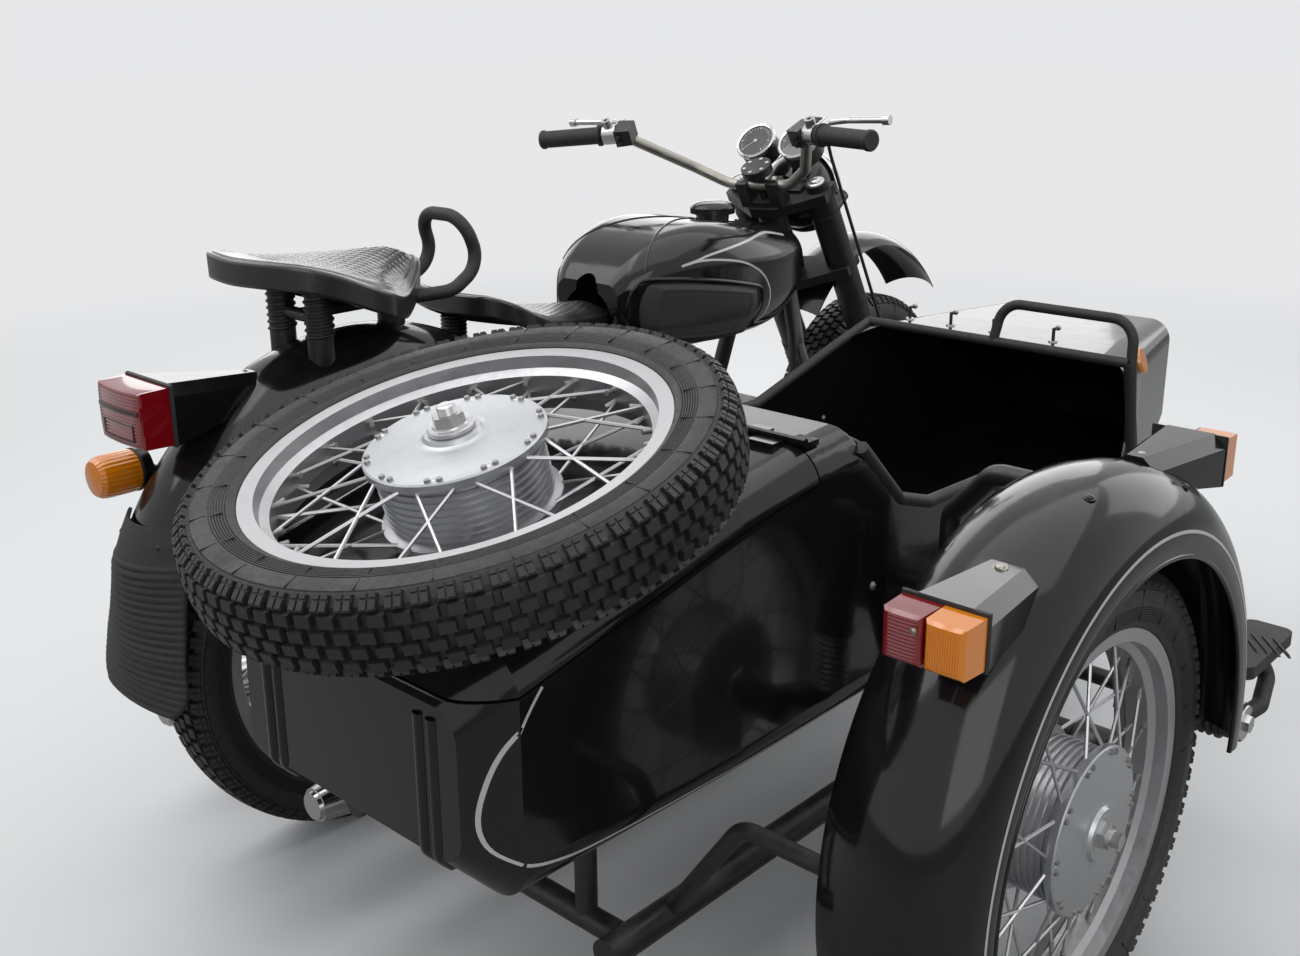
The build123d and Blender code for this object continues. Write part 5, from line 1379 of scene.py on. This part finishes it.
class SIDECAR_OT_stage(bpy.types.Operator):
    """Sets the camera, the lamps, the world and a pale floor."""

    bl_idname = "sidecar.stage"
    bl_label = "Stage"

    def execute(self, context):
        scene = context.scene
        lens = bpy.data.cameras.new("photo_camera")
        lens.sensor_width = SENSOR
        lens.lens = FOCAL_PIXELS / PHOTO_WIDTH * SENSOR
        lens.shift_y = SHIFT_PIXELS / PHOTO_WIDTH
        camera = bpy.data.objects.new("photo_camera", lens)
        turn = camera_turn(radians(42.59), radians(16.71), radians(-0.36))
        camera.matrix_world = Matrix.Translation(WORK @ CAMERA_AT) @ turn
        scene.collection.objects.link(camera)
        scene.camera = camera
        scene.view_settings.view_transform = "Standard"
        for name, place, size, height, power in stage_lamps:
            light = bpy.data.lights.new(name, "AREA")
            light.shape = "RECTANGLE"
            light.size = size
            light.size_y = height
            light.energy = power
            lamp = bpy.data.objects.new(name, light)
            lamp.visible_camera = False
            aimed = (Vector((0, 0, 0.5)) - Vector(place)).to_track_quat("-Z", "Y").to_matrix().to_4x4()
            lamp.matrix_world = Matrix.Translation(place) @ aimed
            scene.collection.objects.link(lamp)
        world = bpy.data.worlds.new("studio")
        world.use_nodes = True
        sky = world.node_tree.nodes["Background"]
        seen_colour(world.node_tree, sky, "Color", (1.45, 1.46, 1.48), (0.8, 0.84, 0.9), True)
        sky.inputs["Strength"].default_value = 0.55
        scene.world = world
        bm = bmesh.new()
        bmesh.ops.create_grid(bm, x_segments=1, y_segments=1, size=30)
        mesh = bpy.data.meshes.new("floor")
        bm.to_mesh(mesh)
        bm.free()
        floor = bpy.data.objects.new("floor", mesh)
        pale = bpy.data.materials.new("floor_pale")
        pale.use_nodes = True
        shader = pale.node_tree.nodes["Principled BSDF"]
        seen_colour(pale.node_tree, shader, "Base Color", (0.74, 0.74, 0.735), (0.34, 0.34, 0.33))
        shader.inputs["Roughness"].default_value = 0.7
        fade_out(pale.node_tree, shader, (0.8, 0.805, 0.815), 1.7, 5.5)
        mesh.materials.append(pale)
        scene.collection.objects.link(floor)
        return {"FINISHED"}


class SIDECAR_PT_panel(bpy.types.Panel):
    """Lists the outfit's pieces."""

    bl_idname = "SIDECAR_PT_panel"
    bl_label = "Sidecar outfit"
    bl_space_type = "VIEW_3D"
    bl_region_type = "UI"
    bl_category = "Sidecar outfit"

    def draw(self, context):
        for settings in (context.scene.outfit_tyre, context.scene.outfit_finish):
            for key in settings.bl_rna.properties.keys():
                if key not in ("name", "rna_type"):
                    self.layout.prop(settings, key)
        for operator in operators:
            self.layout.operator(operator.bl_idname)


operators = [
    SIDECAR_OT_finishes, SIDECAR_OT_tyres, SIDECAR_OT_hubs, SIDECAR_OT_saddles, SIDECAR_OT_lamps,
    SIDECAR_OT_mudflap, SIDECAR_OT_seats, SIDECAR_OT_controls, SIDECAR_OT_tank, SIDECAR_OT_engine,
    SIDECAR_OT_suspension, SIDECAR_OT_trim, SIDECAR_OT_stripes, SIDECAR_OT_stage,
]
classes = [TyreSettings, FinishSettings, *operators, SIDECAR_PT_panel]


def register():
    for entry in classes:
        bpy.utils.register_class(entry)
    bpy.types.Scene.outfit_tyre = PointerProperty(type=TyreSettings)
    bpy.types.Scene.outfit_finish = PointerProperty(type=FinishSettings)


def unregister():
    del bpy.types.Scene.outfit_tyre
    del bpy.types.Scene.outfit_finish
    for entry in reversed(classes):
        bpy.utils.unregister_class(entry)


def main():
    register()
    for operator in operators:
        getattr(bpy.ops.sidecar, operator.bl_idname.split(".")[1])()


if __name__ == "__main__":
    main()
